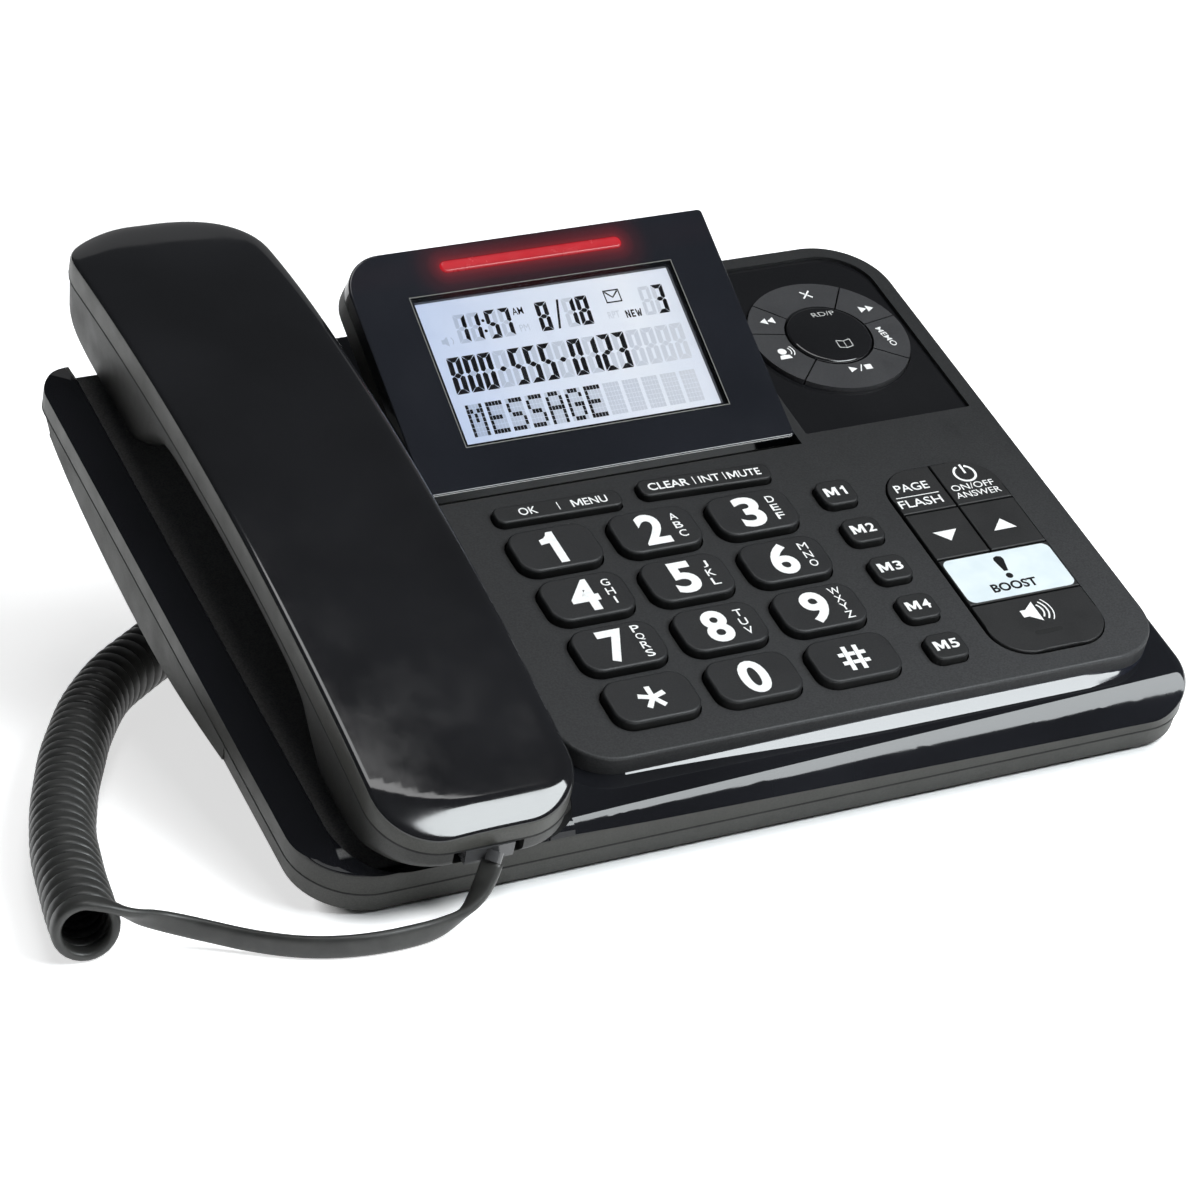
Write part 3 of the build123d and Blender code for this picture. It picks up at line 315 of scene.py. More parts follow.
gloss_black = gloss("gloss_black", (0.009, 0.010, 0.015), (0.013, 0.014, 0.021))
gloss_case = case_gloss("gloss_case")
gloss_handset = gloss("gloss_handset", (0.0080, 0.0080, 0.0090), (0.0110, 0.0110, 0.0125))
gloss_bezel = gloss("gloss_bezel", (0.009, 0.010, 0.014), (0.012, 0.013, 0.019))
gloss_plate = gloss("gloss_plate", (0.008, 0.008, 0.009), (0.011, 0.011, 0.012))
dark_case = grained("dark_case", (0.020, 0.020, 0.0175), (0.032, 0.032, 0.028), 0.5)
handset_side = grained("handset_side", (0.022, 0.022, 0.0185), (0.033, 0.033, 0.028), 0.42)
grip_dark = grained("grip_dark", (0.016, 0.016, 0.015), (0.026, 0.026, 0.024), 0.5)
seam_black = grained("seam_black", (0.0015, 0.0015, 0.0015), (0.003, 0.003, 0.003), 0.8)
# painted highlights: pale colours for thin strips in place of bright edge highlights
highlight_olive = grained("highlight_olive", (0.11, 0.11, 0.098), (0.15, 0.15, 0.135), 0.45)
highlight_silver = grained("highlight_silver", (0.24, 0.24, 0.235), (0.34, 0.34, 0.33), 0.35)


def deck_grain():
    """The face plate: spark-eroded, with a painted sheen that makes it lighter towards its lower right."""
    m, t, b = new_material("matte_deck")
    c = coords(t)
    x, v, n = deck_coords(t)
    fine = noise(t, 2200.0, 2.0, 0.6, c)
    plain = ramp(t, fine, [(0.38, (0.0095, 0.0098, 0.0105)), (0.62, (0.0170, 0.0175, 0.0185))])
    # painted sheen: the lighter colour, blended in towards the lower right, stands in for the front light's sheen
    painted_sheen = ramp(t, fine, [(0.38, (0.024, 0.0245, 0.026)), (0.62, (0.040, 0.0405, 0.0425))])
    share = times(t, map_range(t, x, -0.02, 0.131, 0.25, 1.0), map_range(t, v, 0.02, -0.066, 0.0, 1.0))
    t.links.new(blend_colours(t, share, plain, painted_sheen), b.inputs["Base Color"])
    t.links.new(map_range(t, noise(t, 130.0, 3.0, 0.5, c), 0.3, 0.7, 0.48, 0.58), b.inputs["Roughness"])
    bump(t, b, fine, 0.6, 0.00005)
    b.inputs["Specular IOR Level"].default_value = 0.4
    return m


matte_deck = deck_grain()
key_plastic = grained("key_plastic", (0.022, 0.022, 0.024), (0.034, 0.034, 0.036), 0.5, 3200.0, 0.00003, 0.35)
# the fourth colour of each key is the painted shade for its sides
dial_plastic = key_grain("dial_plastic", (0.0085, 0.0087, 0.0095), (0.0145, 0.0148, 0.016), (0.005, 0.005, 0.005), 0.0023, 0.5)
small_plastic = key_grain("small_plastic", (0.0065, 0.0067, 0.0072), (0.0115, 0.0118, 0.0125), (0.005, 0.005, 0.005), 0.0020, 0.5)
cluster_plastic = key_grain("cluster_plastic", (0.0088, 0.0088, 0.0092), (0.0150, 0.0150, 0.0156), (0.003, 0.003, 0.003), 0.0007, 0.5)
ring_plastic = grained("ring_plastic", (0.030, 0.030, 0.032), (0.044, 0.044, 0.047), 0.42, 3200.0, 0.00002, 0.3)
pad_rubber = rubber("pad_rubber", (0.02, 0.02, 0.02), (0.035, 0.035, 0.034), 0.75)
cord_rubber = rubber("cord_rubber", (0.026, 0.026, 0.025), (0.036, 0.036, 0.034), 0.42)
board_green = grained("board_green", (0.02, 0.10, 0.05), (0.03, 0.14, 0.07), 0.4, 600.0)
speaker_black = grained("speaker_black", (0.03, 0.03, 0.03), (0.05, 0.05, 0.05), 0.45)
plug_clear = gloss("plug_clear", (0.045, 0.045, 0.047), (0.07, 0.07, 0.072), (0.12, 0.25))
lit_key = grained("lit_key", (0.78, 0.88, 0.96), (0.84, 0.93, 0.99), 0.45, 3200.0, 0.00002, 0.2)


def steel():
    m, t, b = new_material("screw_steel")
    c = coords(t)
    t.links.new(ramp(t, noise(t, 700.0, 3.0, 0.6, c), [(0.3, (0.45, 0.45, 0.46)), (0.7, (0.6, 0.6, 0.61))]), b.inputs["Base Color"])
    t.links.new(map_range(t, noise(t, 200.0), 0.3, 0.7, 0.28, 0.42), b.inputs["Roughness"])
    b.inputs["Metallic"].default_value = 1.0
    return m


def print_white(name="print_white", low=(0.80, 0.80, 0.79), high=(0.92, 0.92, 0.91)):
    m, t, b = new_material(name)
    c = coords(t)
    t.links.new(ramp(t, noise(t, 900.0, 2.0, 0.5, c), [(0.3, low), (0.7, high)]), b.inputs["Base Color"])
    t.links.new(map_range(t, noise(t, 300.0), 0.3, 0.7, 0.5, 0.65), b.inputs["Roughness"])
    return m


screw_steel = steel()
white_ink = print_white()
grey_ink = print_white("print_grey", (0.42, 0.42, 0.41), (0.52, 0.52, 0.51))
black_ink = print_white("print_black", (0.004, 0.004, 0.005), (0.008, 0.008, 0.009))
black_ink.node_tree.nodes["Principled BSDF"].inputs["Specular IOR Level"].default_value = 0.15

# ------------------------------------------------------------------ cord: both leads and the curly part, one flat cable


def smooth_line(points):
    """The points of a NURBS spline of order 3 through the route's control points."""
    curve = bpy.data.curves.new("route", "CURVE")
    curve.dimensions = "3D"
    curve.resolution_u = 24
    s = curve.splines.new("NURBS")
    s.points.add(len(points) - 1)
    for p, q in zip(s.points, points):
        p.co = (q[0], q[1], q[2], 1.0)
    s.order_u = 3
    s.use_endpoint_u = True
    obj = link(bpy.data.objects.new("route", curve))
    bpy.context.view_layer.update()
    mesh = bpy.data.meshes.new_from_object(obj.evaluated_get(bpy.context.evaluated_depsgraph_get()))
    line = [v.co.copy() for v in mesh.vertices]
    bpy.data.objects.remove(obj)
    bpy.data.curves.remove(curve)
    bpy.data.meshes.remove(mesh)
    return line


def lengths(line):
    total = [0.0]
    for a, b in zip(line, line[1:]):
        total.append(total[-1] + (b - a).length)
    return total


def walk(line, count):
    """Evenly spaced points read from a line."""
    total = lengths(line)
    out, k = [], 0
    for i in range(count):
        s = total[-1] * i / (count - 1)
        while k < len(total) - 2 and total[k + 1] < s:
            k += 1
        span = max(total[k + 1] - total[k], 1e-12)
        out.append(line[k].lerp(line[k + 1], min(1.0, max(0.0, (s - total[k]) / span))))
    return out


COIL_R = 7.75
HELIX_R = 6.5  # to the middle of the flat cable
coil_route = [
    table(-58.0, 88.6, COIL_R),
    table(-74.8, 74.4, COIL_R),
    table(-91.9, 58.5, COIL_R),
    table(-109.3, 28.8, COIL_R),
    table(-125.7, -8.0, COIL_R),
    table(-133.5, -34.6, COIL_R),
    table(-139.2, -60.6, COIL_R),
]
coil_line = smooth_line(coil_route)
coil_length = lengths(coil_line)[-1]
PITCH = 0.00432
phase0 = math.radians(135.0)
turns = round(coil_length / PITCH)
phase1 = phase0 + 2 * math.pi * turns - math.radians(45.0)
steps = turns * 28
centres = walk(coil_line, steps + 1)
helix, helix_normal = [], []
up = Vector((0, 0, 1))
for i, c in enumerate(centres):
    a, b = centres[max(0, i - 1)], centres[min(steps, i + 1)]
    t = (b - a).normalized()
    side = t.cross(up).normalized()
    phi = phase0 + (phase1 - phase0) * i / steps
    wobble = 0.00010 * math.sin(i * 0.013 + 1.0) + 0.00006 * math.sin(i * 0.037)
    r = HELIX_R / 1000.0 + wobble - 0.0001
    radial = math.cos(phi) * side + math.sin(phi) * up
    helix.append(c + r * radial)
    helix_normal.append(radial)

plug_face = at(-53.2, 81.0, -25.0)
base_route = [
    plug_face,
    plug_face + Vector((-12.3, 0, 0)) / 1000,
    plug_face + Vector((-20.8, 2.5, -8.8)) / 1000,
    plug_face + Vector((-20.3, 7.0, -21.3)) / 1000,
    plug_face + Vector((-10.8, 8.0, -32.8)) / 1000,
    helix[0],
]
lead_route = [
    helix[-1],
    table(-135.6, -61.9, 13.6),
    table(-130.0, -63.2, 10.4),
    table(-122.8, -61.8, 6.8),
    table(-114.5, -65.3, 4.2),
    table(-106.5, -72.5, 3.0),
    table(-98.0, -79.5, 2.75),
    table(-89.0, -83.5, 2.75),
    table(-79.0, -84.9, 2.75),
    table(-68.0, -84.2, 2.9),
    table(-59.6, -83.9, 7.2),
    table(-55.4, -81.6, 14.4),
]
base_line = walk(smooth_line(base_route), 60)
lead_line = walk(smooth_line(lead_route), 110)


def mix(a, b, f):
    f = max(0.0, min(1.0, f))
    f = f * f * (3 - 2 * f)
    return (a * (1 - f) + b * f).normalized()


cord_line = base_line[:-1] + helix + lead_line[1:]
cord_normal = []
nb = len(base_line) - 1
for i in range(nb):
    cord_normal.append(mix(Vector((0, 0, 1)), helix_normal[0], (i / nb - 0.3) / 0.7))
cord_normal += helix_normal
nl = len(lead_line) - 1
for i in range(1, nl + 1):
    f = i / nl
    T = (lead_line[min(nl, i + 1)] - lead_line[i - 1]).normalized()
    edge = up.cross(T).normalized()
    if f < 0.5:
        n = mix(up, edge, f / 0.28)
    else:
        n = mix(edge, -way(0, -0.2, -1), (f - 0.72) / 0.28)
    cord_normal.append(n)

# the cable's flat section: wide side 2a, thick side 2b
profile = []
for k in range(18):
    q = 2 * math.pi * k / 18
    cx, sx = math.cos(q), math.sin(q)
    profile.append((math.copysign(abs(cx) ** 0.72, cx), math.copysign(abs(sx) ** 0.72, sx)))
verts, faces = [], []
count = len(cord_line)
for i, (p, n) in enumerate(zip(cord_line, cord_normal)):
    a, b = cord_line[max(0, i - 1)], cord_line[min(count - 1, i + 1)]
    T = (b - a).normalized()
    n = (n - n.dot(T) * T).normalized()
    w = T.cross(n)
    in_coil = 1.0 if nb <= i < nb + len(helix) else 0.0
    edge_i = min(abs(i - nb), abs(i - nb - len(helix) + 1))
    half_w = 0.0025 if not in_coil else 0.0025 - 0.00038 * min(1.0, edge_i / 26.0)
    half_t = 0.00118
    for px, py in profile:
        verts.append(p + w * (px * half_w) + n * (py * half_t))
m = len(profile)
for i in range(count - 1):
    for k in range(m):
        faces.append((i * m + k, i * m + (k + 1) % m, (i + 1) * m + (k + 1) % m, (i + 1) * m + k))
faces.append(tuple(range(m - 1, -1, -1)))
faces.append(tuple((count - 1) * m + k for k in range(m)))
cord = mesh_object("handset_cord", verts, faces, cord_rubber)
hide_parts("cord_coil", "cord_lead", "base_lead")
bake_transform(cord)

# ------------------------------------------------------------------ materials of the CAD nodes
node_material = {
    "upper_case": gloss_black,
    "lower_case": dark_case,
    "faceplate": matte_deck,
    "nav_plate": gloss_plate,
    "desk_stand": dark_case,
    "rubber_feet": pad_rubber,
    "case_screws": screw_steel,
    "main_board": board_green,
    "keypad_membrane": pad_rubber,
    "loudspeaker": speaker_black,
    "base_jack": speaker_black,
    "rear_jack_block": speaker_black,
    "hook_plunger": key_plastic,
    "base_plug": plug_clear,
    "handset_plug": plug_clear,
    "handset_upper": gloss_handset,
    "handset_lower": dark_case,
    "handset_receiver": speaker_black,
    "handset_microphone": speaker_black,
    "handset_jack": speaker_black,
    "display_bezel": gloss_bezel,
    "display_back": dark_case,
    "nav_centre_key": gloss_plate,
    "boost_key": lit_key,
    "cord_coil": cord_rubber,
    "cord_lead": cord_rubber,
    "base_lead": cord_rubber,
}
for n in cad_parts:
    if n.startswith("nav_") and n.endswith("_key") and n != "nav_centre_key":
        node_material[n] = ring_plastic
    elif n.startswith("key_"):
        node_material[n] = dial_plastic
    elif n.endswith("_bar") and n != "light_bar" or n.startswith("memory_key"):
        node_material[n] = small_plastic
    elif n.endswith("_key") and n not in node_material:
        node_material[n] = cluster_plastic
node_material["upper_case"] = gloss_case


def lit_panel(name, low, high, strength, scale=160.0):
    """A lit surface: its own light varies slightly over it."""
    m, t, b = new_material(name)
    c = coords(t)
    col = ramp(t, noise(t, scale, 2.0, 0.5, c), [(0.35, low), (0.65, high)])
    t.links.new(col, b.inputs["Emission Color"])
    b.inputs["Emission Strength"].default_value = strength
    t.links.new(col, b.inputs["Base Color"])
    t.links.new(map_range(t, noise(t, 300.0, 2.0, 0.5, c), 0.3, 0.7, 0.3, 0.4), b.inputs["Roughness"])
    return m


def lcd_face():
    """Backlit liquid crystal: paler to the right, cooler to the left, faintly clouded."""
    m, t, b = new_material("lcd_face")
    x, h, d = deck_coords(t, D0, FACE)
    c = coords(t)
    across = map_range(t, x, -0.0065, 0.062, 0.0, 1.0)
    spread = ramp(t, across, [(0.0, (0.46, 0.56, 0.78)), (0.4, (0.66, 0.72, 0.84)), (0.8, (0.79, 0.82, 0.87)), (1.0, (0.72, 0.76, 0.84))])
    cloudy = ramp(t, noise(t, 60.0, 2.0, 0.5, c), [(0.3, (0.56, 0.63, 0.77)), (0.7, (0.76, 0.80, 0.87))])
    mixed = blend_colours(t, map_range(t, noise(t, 25.0, 2.0, 0.5, c), 0.3, 0.7, 0.1, 0.35), spread, cloudy)
    t.links.new(mixed, b.inputs["Emission Color"])
    b.inputs["Emission Strength"].default_value = 1.0
    b.inputs["Base Color"].default_value = (0.05, 0.06, 0.07, 1)
    b.inputs["Specular IOR Level"].default_value = 0.15
    t.links.new(map_range(t, noise(t, 300.0, 2.0, 0.5, c), 0.3, 0.7, 0.25, 0.35), b.inputs["Roughness"])
    return m


def idle_segments():
    """Segments that aren't driven: a little darker than the lit ground, paler to the right."""
    m, t, b = new_material("lcd_pale")
    x, h, d = deck_coords(t, D0, FACE)
    c = coords(t)
    spread = ramp(t, map_range(t, x, -0.0065, 0.062, 0.0, 1.0), [(0.0, (0.33, 0.41, 0.57)), (0.5, (0.51, 0.56, 0.65)), (1.0, (0.60, 0.63, 0.69))])
    cloudy = ramp(t, noise(t, 400.0, 2.0, 0.5, c), [(0.3, (0.46, 0.52, 0.63)), (0.7, (0.54, 0.58, 0.67))])
    t.links.new(blend_colours(t, map_range(t, noise(t, 60.0, 2.0, 0.5, c), 0.3, 0.7, 0.0, 0.3), spread, cloudy), b.inputs["Emission Color"])
    b.inputs["Emission Strength"].default_value = 1.0
    b.inputs["Base Color"].default_value = (0.04, 0.045, 0.05, 1)
    b.inputs["Specular IOR Level"].default_value = 0.15
    t.links.new(map_range(t, noise(t, 300.0, 2.0, 0.5, c), 0.3, 0.7, 0.3, 0.4), b.inputs["Roughness"])
    return m


def clear_lens():
    m, t, b = new_material("clear_lens")
    c = coords(t)
    t.links.new(ramp(t, noise(t, 50.0, 2.0, 0.5, c), [(0.3, (0.96, 0.97, 0.98)), (0.7, (0.99, 0.99, 1.0))]), b.inputs["Base Color"])
    t.links.new(map_range(t, noise(t, 90.0, 4.0, 0.6, c), 0.35, 0.7, 0.0, 0.03), b.inputs["Roughness"])
    b.inputs["Transmission Weight"].default_value = 1.0
    b.inputs["IOR"].default_value = 1.3
    return m


def glow_bar():
    """Translucent red bar lit from behind, deeper red towards its long edges."""
    m, t, b = new_material("glow_bar")
    x, h, d = deck_coords(t, D0, FACE)
    c = coords(t)
    rim = ramp(t, map_range(t, h, 0.0585, 0.0619, 0.0, 1.0), [(0.0, (0.30, 0.005, 0.010)), (0.35, (0.60, 0.011, 0.020)), (0.7, (0.62, 0.013, 0.024)), (1.0, (0.26, 0.004, 0.008))])
    cloud = ramp(t, noise(t, 90.0, 2.0, 0.5, c), [(0.3, (0.46, 0.008, 0.015)), (0.7, (0.62, 0.014, 0.026))])
    col = blend_colours(t, map_range(t, noise(t, 40.0, 2.0, 0.5, c), 0.3, 0.7, 0.2, 0.5), rim, cloud)
    t.links.new(col, b.inputs["Emission Color"])
    b.inputs["Emission Strength"].default_value = 0.74
    b.inputs["Base Color"].default_value = (0.10, 0.004, 0.007, 1)
    t.links.new(map_range(t, noise(t, 200.0), 0.3, 0.7, 0.2, 0.3), b.inputs["Roughness"])
    return m


def bezel_gloss():
    """The display's gloss face, with a painted red glow round the lit bar in place of its light shining a little
    through the plastic.
    """
    m, t, b = new_material("bezel_gloss")
    c = coords(t)
    x, h, d = deck_coords(t, D0, FACE)
    t.links.new(ramp(t, noise(t, 22.0, 2.0, 0.5, c), [(0.35, (0.010, 0.011, 0.0145)), (0.65, (0.0135, 0.0145, 0.0190))]), b.inputs["Base Color"])
    t.links.new(map_range(t, noise(t, 60.0, 5.0, 0.65, c), 0.35, 0.7, 0.05, 0.12), b.inputs["Roughness"])
    # distance to the bar's middle line
    over = t.nodes.new("ShaderNodeMath")
    over.operation = "SUBTRACT"
    t.links.new(h, over.inputs[0])
    over.inputs[1].default_value = 0.0602
    left = map_range(t, x, 0.0050, -0.0050, 0.0, 0.0100)
    right = map_range(t, x, 0.0502, 0.0602, 0.0, 0.0100)
    v3 = t.nodes.new("ShaderNodeCombineXYZ")
    t.links.new(left, v3.inputs["X"])
    t.links.new(over.outputs["Value"], v3.inputs["Y"])
    t.links.new(right, v3.inputs["Z"])
    far = t.nodes.new("ShaderNodeVectorMath")
    far.operation = "LENGTH"
    t.links.new(v3.outputs["Vector"], far.inputs[0])
    # painted glow: red emission that fades with distance from the bar
    halo = ramp(
        t,
        map_range(t, far.outputs["Value"], 0.0016, 0.0110, 0.0, 1.0),
        [(0.0, (0.17, 0.008, 0.010)), (0.15, (0.085, 0.004, 0.006)), (0.4, (0.026, 0.0015, 0.002)), (0.75, (0.005, 0.0004, 0.0005)), (1.0, (0.0, 0.0, 0.0))],
    )
    t.links.new(halo, b.inputs["Emission Color"])
    b.inputs["Emission Strength"].default_value = 1.0
    bump(t, b, noise(t, 900.0, 2.0, 0.5, c), 0.02, 0.00002)
    b.inputs["IOR"].default_value = 1.55
    return m


lit_key = lit_panel("lit_key", (0.52, 0.585, 0.61), (0.57, 0.63, 0.65), 0.30)
lcd_material = lcd_face()
lens_material = clear_lens()
bar_material = glow_bar()
node_material["boost_key"] = cluster_plastic
node_material["display_bezel"] = bezel_gloss()
node_material["lcd_module"] = lcd_material
node_material["display_lens"] = lens_material
node_material["light_bar"] = bar_material
for name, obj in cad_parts.items():
    mat = node_material[name]
    obj.data.materials.clear()
    obj.data.materials.append(mat)

# ------------------------------------------------------------------ handset shells
G_LEFT, G_FRONT, G_BACK = -79.0, -85.6, 130.5


def grip_right(v):
    return -31.2 + 2.3 * (v - G_FRONT) / 216.1


def arch(v):
    return 19.6 - (v - 28.0) ** 2 / 1300.0


def through(points, q):
    """A smooth curve through (q, value) points, flat-ended."""
    if q <= points[0][0]:
        return points[0][1]
    if q >= points[-1][0]:
        return points[-1][1]
    k = max(i for i, p in enumerate(points) if p[0] <= q)
    k = min(k, len(points) - 2)
    (x0, y0), (x1, y1) = points[k], points[k + 1]
    m0 = (y1 - points[k - 1][1]) / (x1 - points[k - 1][0]) if k > 0 else (y1 - y0) / (x1 - x0)
    m1 = (points[k + 2][1] - y0) / (points[k + 2][0] - x0) if k + 2 < len(points) else (y1 - y0) / (x1 - x0)
    w = x1 - x0
    f = (q - x0) / w
    return (
        (2 * f**3 - 3 * f**2 + 1) * y0
        + (f**3 - 2 * f**2 + f) * w * m0
        + (-2 * f**3 + 3 * f**2) * y1
        + (f**3 - f**2) * w * m1
    )


def row_ends(v, inset=0.0):
    rf, rb = 15.0 - inset, 22.0 - inset
    f, b = v - (G_FRONT + inset), (G_BACK - inset) - v
    cut = 0.0
    if f < rf:
        cut = rf - math.sqrt(max(0.0, rf * rf - (rf - f) ** 2))
    elif b < rb:
        cut = rb - math.sqrt(max(0.0, rb * rb - (rb - b) ** 2))
    return G_LEFT + inset + cut, grip_right(v) - inset - cut


def rim_distance(x, v, inset=0.0):
    """Distance to the outline, and the outline's outward direction there."""
    left, right, front, back = G_LEFT + inset, grip_right(v) - inset, G_FRONT + inset, G_BACK - inset
    for cx, cv, r, sx, sv in (
        (left + 15.0 - inset, front + 15.0 - inset, 15.0 - inset, -1, -1),
        (right - 15.0 + inset, front + 15.0 - inset, 15.0 - inset, 1, -1),
        (left + 22.0 - inset, back - 22.0 + inset, 22.0 - inset, -1, 1),
        (right - 22.0 + inset, back - 22.0 + inset, 22.0 - inset, 1, 1),
    ):
        if (x - cx) * sx > 0 and (v - cv) * sv > 0:
            q = math.hypot(x - cx, v - cv)
            return max(0.0, r - q), (x - cx) / max(q, 1e-9), (v - cv) / max(q, 1e-9)
    return min((max(0.0, x - left), -1, 0), (max(0.0, right - x), 1, 0), (max(0.0, v - front), 0, -1), (max(0.0, back - v), 0, 1))


def fall(s):
    return 1.0 - math.sqrt(max(0.0, 1.0 - min(1.0, s) ** 2))


CREST = [(-79.0, 109.5), (-75.0, 107.0), (-66.5, 102.0), (-58.0, 96.5), (-47.0, 91.0), (-38.0, 84.0), (-33.6, 78.0), (-30.0, 70.0), (-28.9, 68.0)]


FRONT_FALL = [(-79.0, 15.0), (-75.0, 12.4), (-70.0, 9.8), (-64.0, 7.8), (-57.0, 6.8), (-48.0, 6.6), (-38.0, 6.6), (-31.0, 6.4)]


def top_height(x, v):
    d, nx, nv = rim_distance(x, v)
    wx, wv = nx * nx, nv * nv
    side_a, side_d = (1.0, 0.9) if nx < 0 else (4.0, 2.2)
    side = side_d * fall(max(0.0, 1.0 - d / side_a))
    roll = wx * side
    if nv > 0:
        roll += wv * 1.9 * fall(max(0.0, 1.0 - d / 7.0))
    # the front end: a broad, nearly flat fall with a small radius at its edge
    reach = through(FRONT_FALL, x)
    q = max(0.0, 1.0 - (v - G_FRONT) / reach)
    roll += reach * (0.235 * q + 0.095 * q * q)
    if nv < 0:
        roll += wv * 0.5 * fall(max(0.0, 1.0 - d / 0.8))
    if nv > 0 and nx < 0:
        # the back left corner falls away more
        roll += 2.4 * (4.0 * wx * wv) * fall(max(0.0, 1.0 - d / 12.0))
    start = through(CREST, x)
    s = (v - start) / (132.5 - start)
    dome = 5.6 * fall(min(s, 0.985)) if s > 0 else 0.0
    return arch(v) - roll - dome


UNDER = [(-86.0, -2.4), (-84.0, -2.9), (-76.0, -5.2), (-66.0, -8.6), (-50.0, -8.6), (-42.0, -4.0), (-34.0, 1.6), (-15.0, 4.8), (8.0, 5.8), (30.0, 5.6), (50.0, 4.2), (57.0, 0.4), (64.0, -5.6), (72.0, -10.6), (80.0, -11.0), (95.0, -11.0), (107.0, -10.0), (118.0, -6.0), (127.5, 0.2), (131.0, 3.0)]


def under_height(x, v, inset):
    d, nx, nv = rim_distance(x, v, inset)
    lid = arch(v) - 6.7
    base = through(UNDER, v)
    room = max(0.6, lid - base)
    a = 6.5 * nx * nx + 4.0 * nv * nv
    rise = min(5.2 * nx * nx + 2.6 * nv * nv, 0.74 * room)
    return base + (rise * fall(1.0 - d / a) if d < a else 0.0)


def spread_list(lows, highs, low, high, step):
    """Distances from one end, from the other end, and even steps between."""
    out = [low + q for q in lows]
    start, stop = low + lows[-1], high - highs[-1]
    n = max(2, int(round((stop - start) / step)))
    out += [start + (stop - start) * k / n for k in range(1, n)]
    out += [high - q for q in reversed(highs)]
    return out


GRIP_COLS = spread_list(
    [0, 0.05, 0.13, 0.25, 0.4, 0.58, 0.78, 1.0, 1.4, 2.0, 3.0, 4.5, 6.5],
    [0, 0.06, 0.16, 0.3, 0.5, 0.75, 1.05, 1.4, 1.8, 2.3, 2.8, 3.4, 4.0, 5.0, 6.5],
    0.0, 48.9, 1.5,
)
GRIP_COLS = [q / 48.9 for q in GRIP_COLS]
GRIP_ROWS = spread_list(
    [0, 0.05, 0.15, 0.3, 0.5, 0.8, 1.2, 1.7, 2.3, 3.0, 3.8, 4.7, 5.7, 6.8, 8.0, 9.5, 11.0, 13.0, 15.0],
    [0, 0.05, 0.15, 0.3, 0.5, 0.8, 1.2, 1.7, 2.3, 3.0, 3.8, 4.7, 5.7, 6.8, 8.0, 9.5, 11.0, 13.0, 15.0, 17.0, 19.5, 22.0],
    G_FRONT, G_BACK, 1.8,
)


def shell(name, inset, upper, lower, material, wall_rows=3):
    """A closed shell between two height functions over the handset's outline."""
    verts, faces = [], []
    rows, cols = len(GRIP_ROWS), len(GRIP_COLS)
    length = G_BACK - G_FRONT
    spots = []
    for v in GRIP_ROWS:
        vv = G_FRONT + inset + (v - G_FRONT) * (length - 2 * inset) / length
        xl, xr = row_ends(vv, inset)
        spots.append([(xl + (xr - xl) * u, vv) for u in GRIP_COLS])
    for row in spots:
        for x, v in row:
            verts.append(at(x, v, upper(x, v)))
    for row in spots:
        for x, v in row:
            verts.append(at(x, v, lower(x, v)))
    half = rows * cols
    for i in range(rows - 1):
        for j in range(cols - 1):
            a, b, c, d = i * cols + j, i * cols + j + 1, (i + 1) * cols + j + 1, (i + 1) * cols + j
            faces.append((a, b, c, d))
            faces.append((half + d, half + c, half + b, half + a))
    loop = (
        [j for j in range(cols)]
        + [i * cols + cols - 1 for i in range(1, rows)]
        + [(rows - 1) * cols + j for j in range(cols - 2, -1, -1)]
        + [i * cols for i in range(rows - 2, 0, -1)]
    )
    rings = [loop]
    for k in range(1, wall_rows):
        f = k / wall_rows
        ring = []
        for q in loop:
            verts.append(verts[q].lerp(verts[half + q], f))
            ring.append(len(verts) - 1)
        rings.append(ring)
    rings.append([half + q for q in loop])
    n = len(loop)
    for r0, r1 in zip(rings, rings[1:]):
        for k in range(n):
            faces.append((r0[k], r1[k], r1[(k + 1) % n], r0[(k + 1) % n]))
    obj = mesh_object(name, verts, faces, material)
    sharp_by_angle(obj, 50)
    return obj


def boolean(obj, cutters):
    """Cuts closed shapes out of a piece and keeps the result as plain mesh."""
    for cutter in cutters:
        mod = obj.modifiers.new("cut", "BOOLEAN")
        mod.operation = "DIFFERENCE"
        mod.solver = "EXACT"
        mod.object = cutter
    bpy.context.view_layer.update()
    mesh = bpy.data.meshes.new_from_object(obj.evaluated_get(bpy.context.evaluated_depsgraph_get()))
    obj.modifiers.clear()
    old = obj.data
    obj.data = mesh
    bpy.data.meshes.remove(old)
    for cutter in cutters:
        bpy.data.objects.remove(cutter)


def prism_points(points, lo, hi, place, name="cutter"):
    """A closed prism over a flat outline, between two heights."""
    n = len(points)
    verts = [place(x, y, lo) for x, y in points] + [place(x, y, hi) for x, y in points]
    faces = [tuple(range(n - 1, -1, -1)), tuple(range(n, 2 * n))]
    faces += [(k, (k + 1) % n, n + (k + 1) % n, n + k) for k in range(n)]
    return mesh_object(name, verts, faces, None, smooth=False)


def ring_points(cx, cy, r, n=24):
    return [(cx + r * math.cos(2 * math.pi * k / n), cy + r * math.sin(2 * math.pi * k / n)) for k in range(n)]


def rounded_box(cx, cy, w, h, r, n=5):
    out = []
    for qx, qy, a0 in ((1, 1, 0), (-1, 1, 90), (-1, -1, 180), (1, -1, 270)):
        for k in range(n + 1):
            a = math.radians(a0 + 90 * k / n)
            out.append((cx + qx * (w / 2 - r) + r * math.cos(a), cy + qy * (h / 2 - r) + r * math.sin(a)))
    return out


def taper(obj):
    """The lower shell draws in a little towards its underside."""
    for vert in obj.data.vertices:
        x, v, n = deck_of(vert.co)
        depth = max(0.0, arch(v) - 6.7 - n)
        share = 0.012 + 0.075 * min(1.0, max(0.0, (v - 50.0) / 30.0))
        vert.co = at(x - (x + 54.5) / 24.5 * share * depth, v, n)


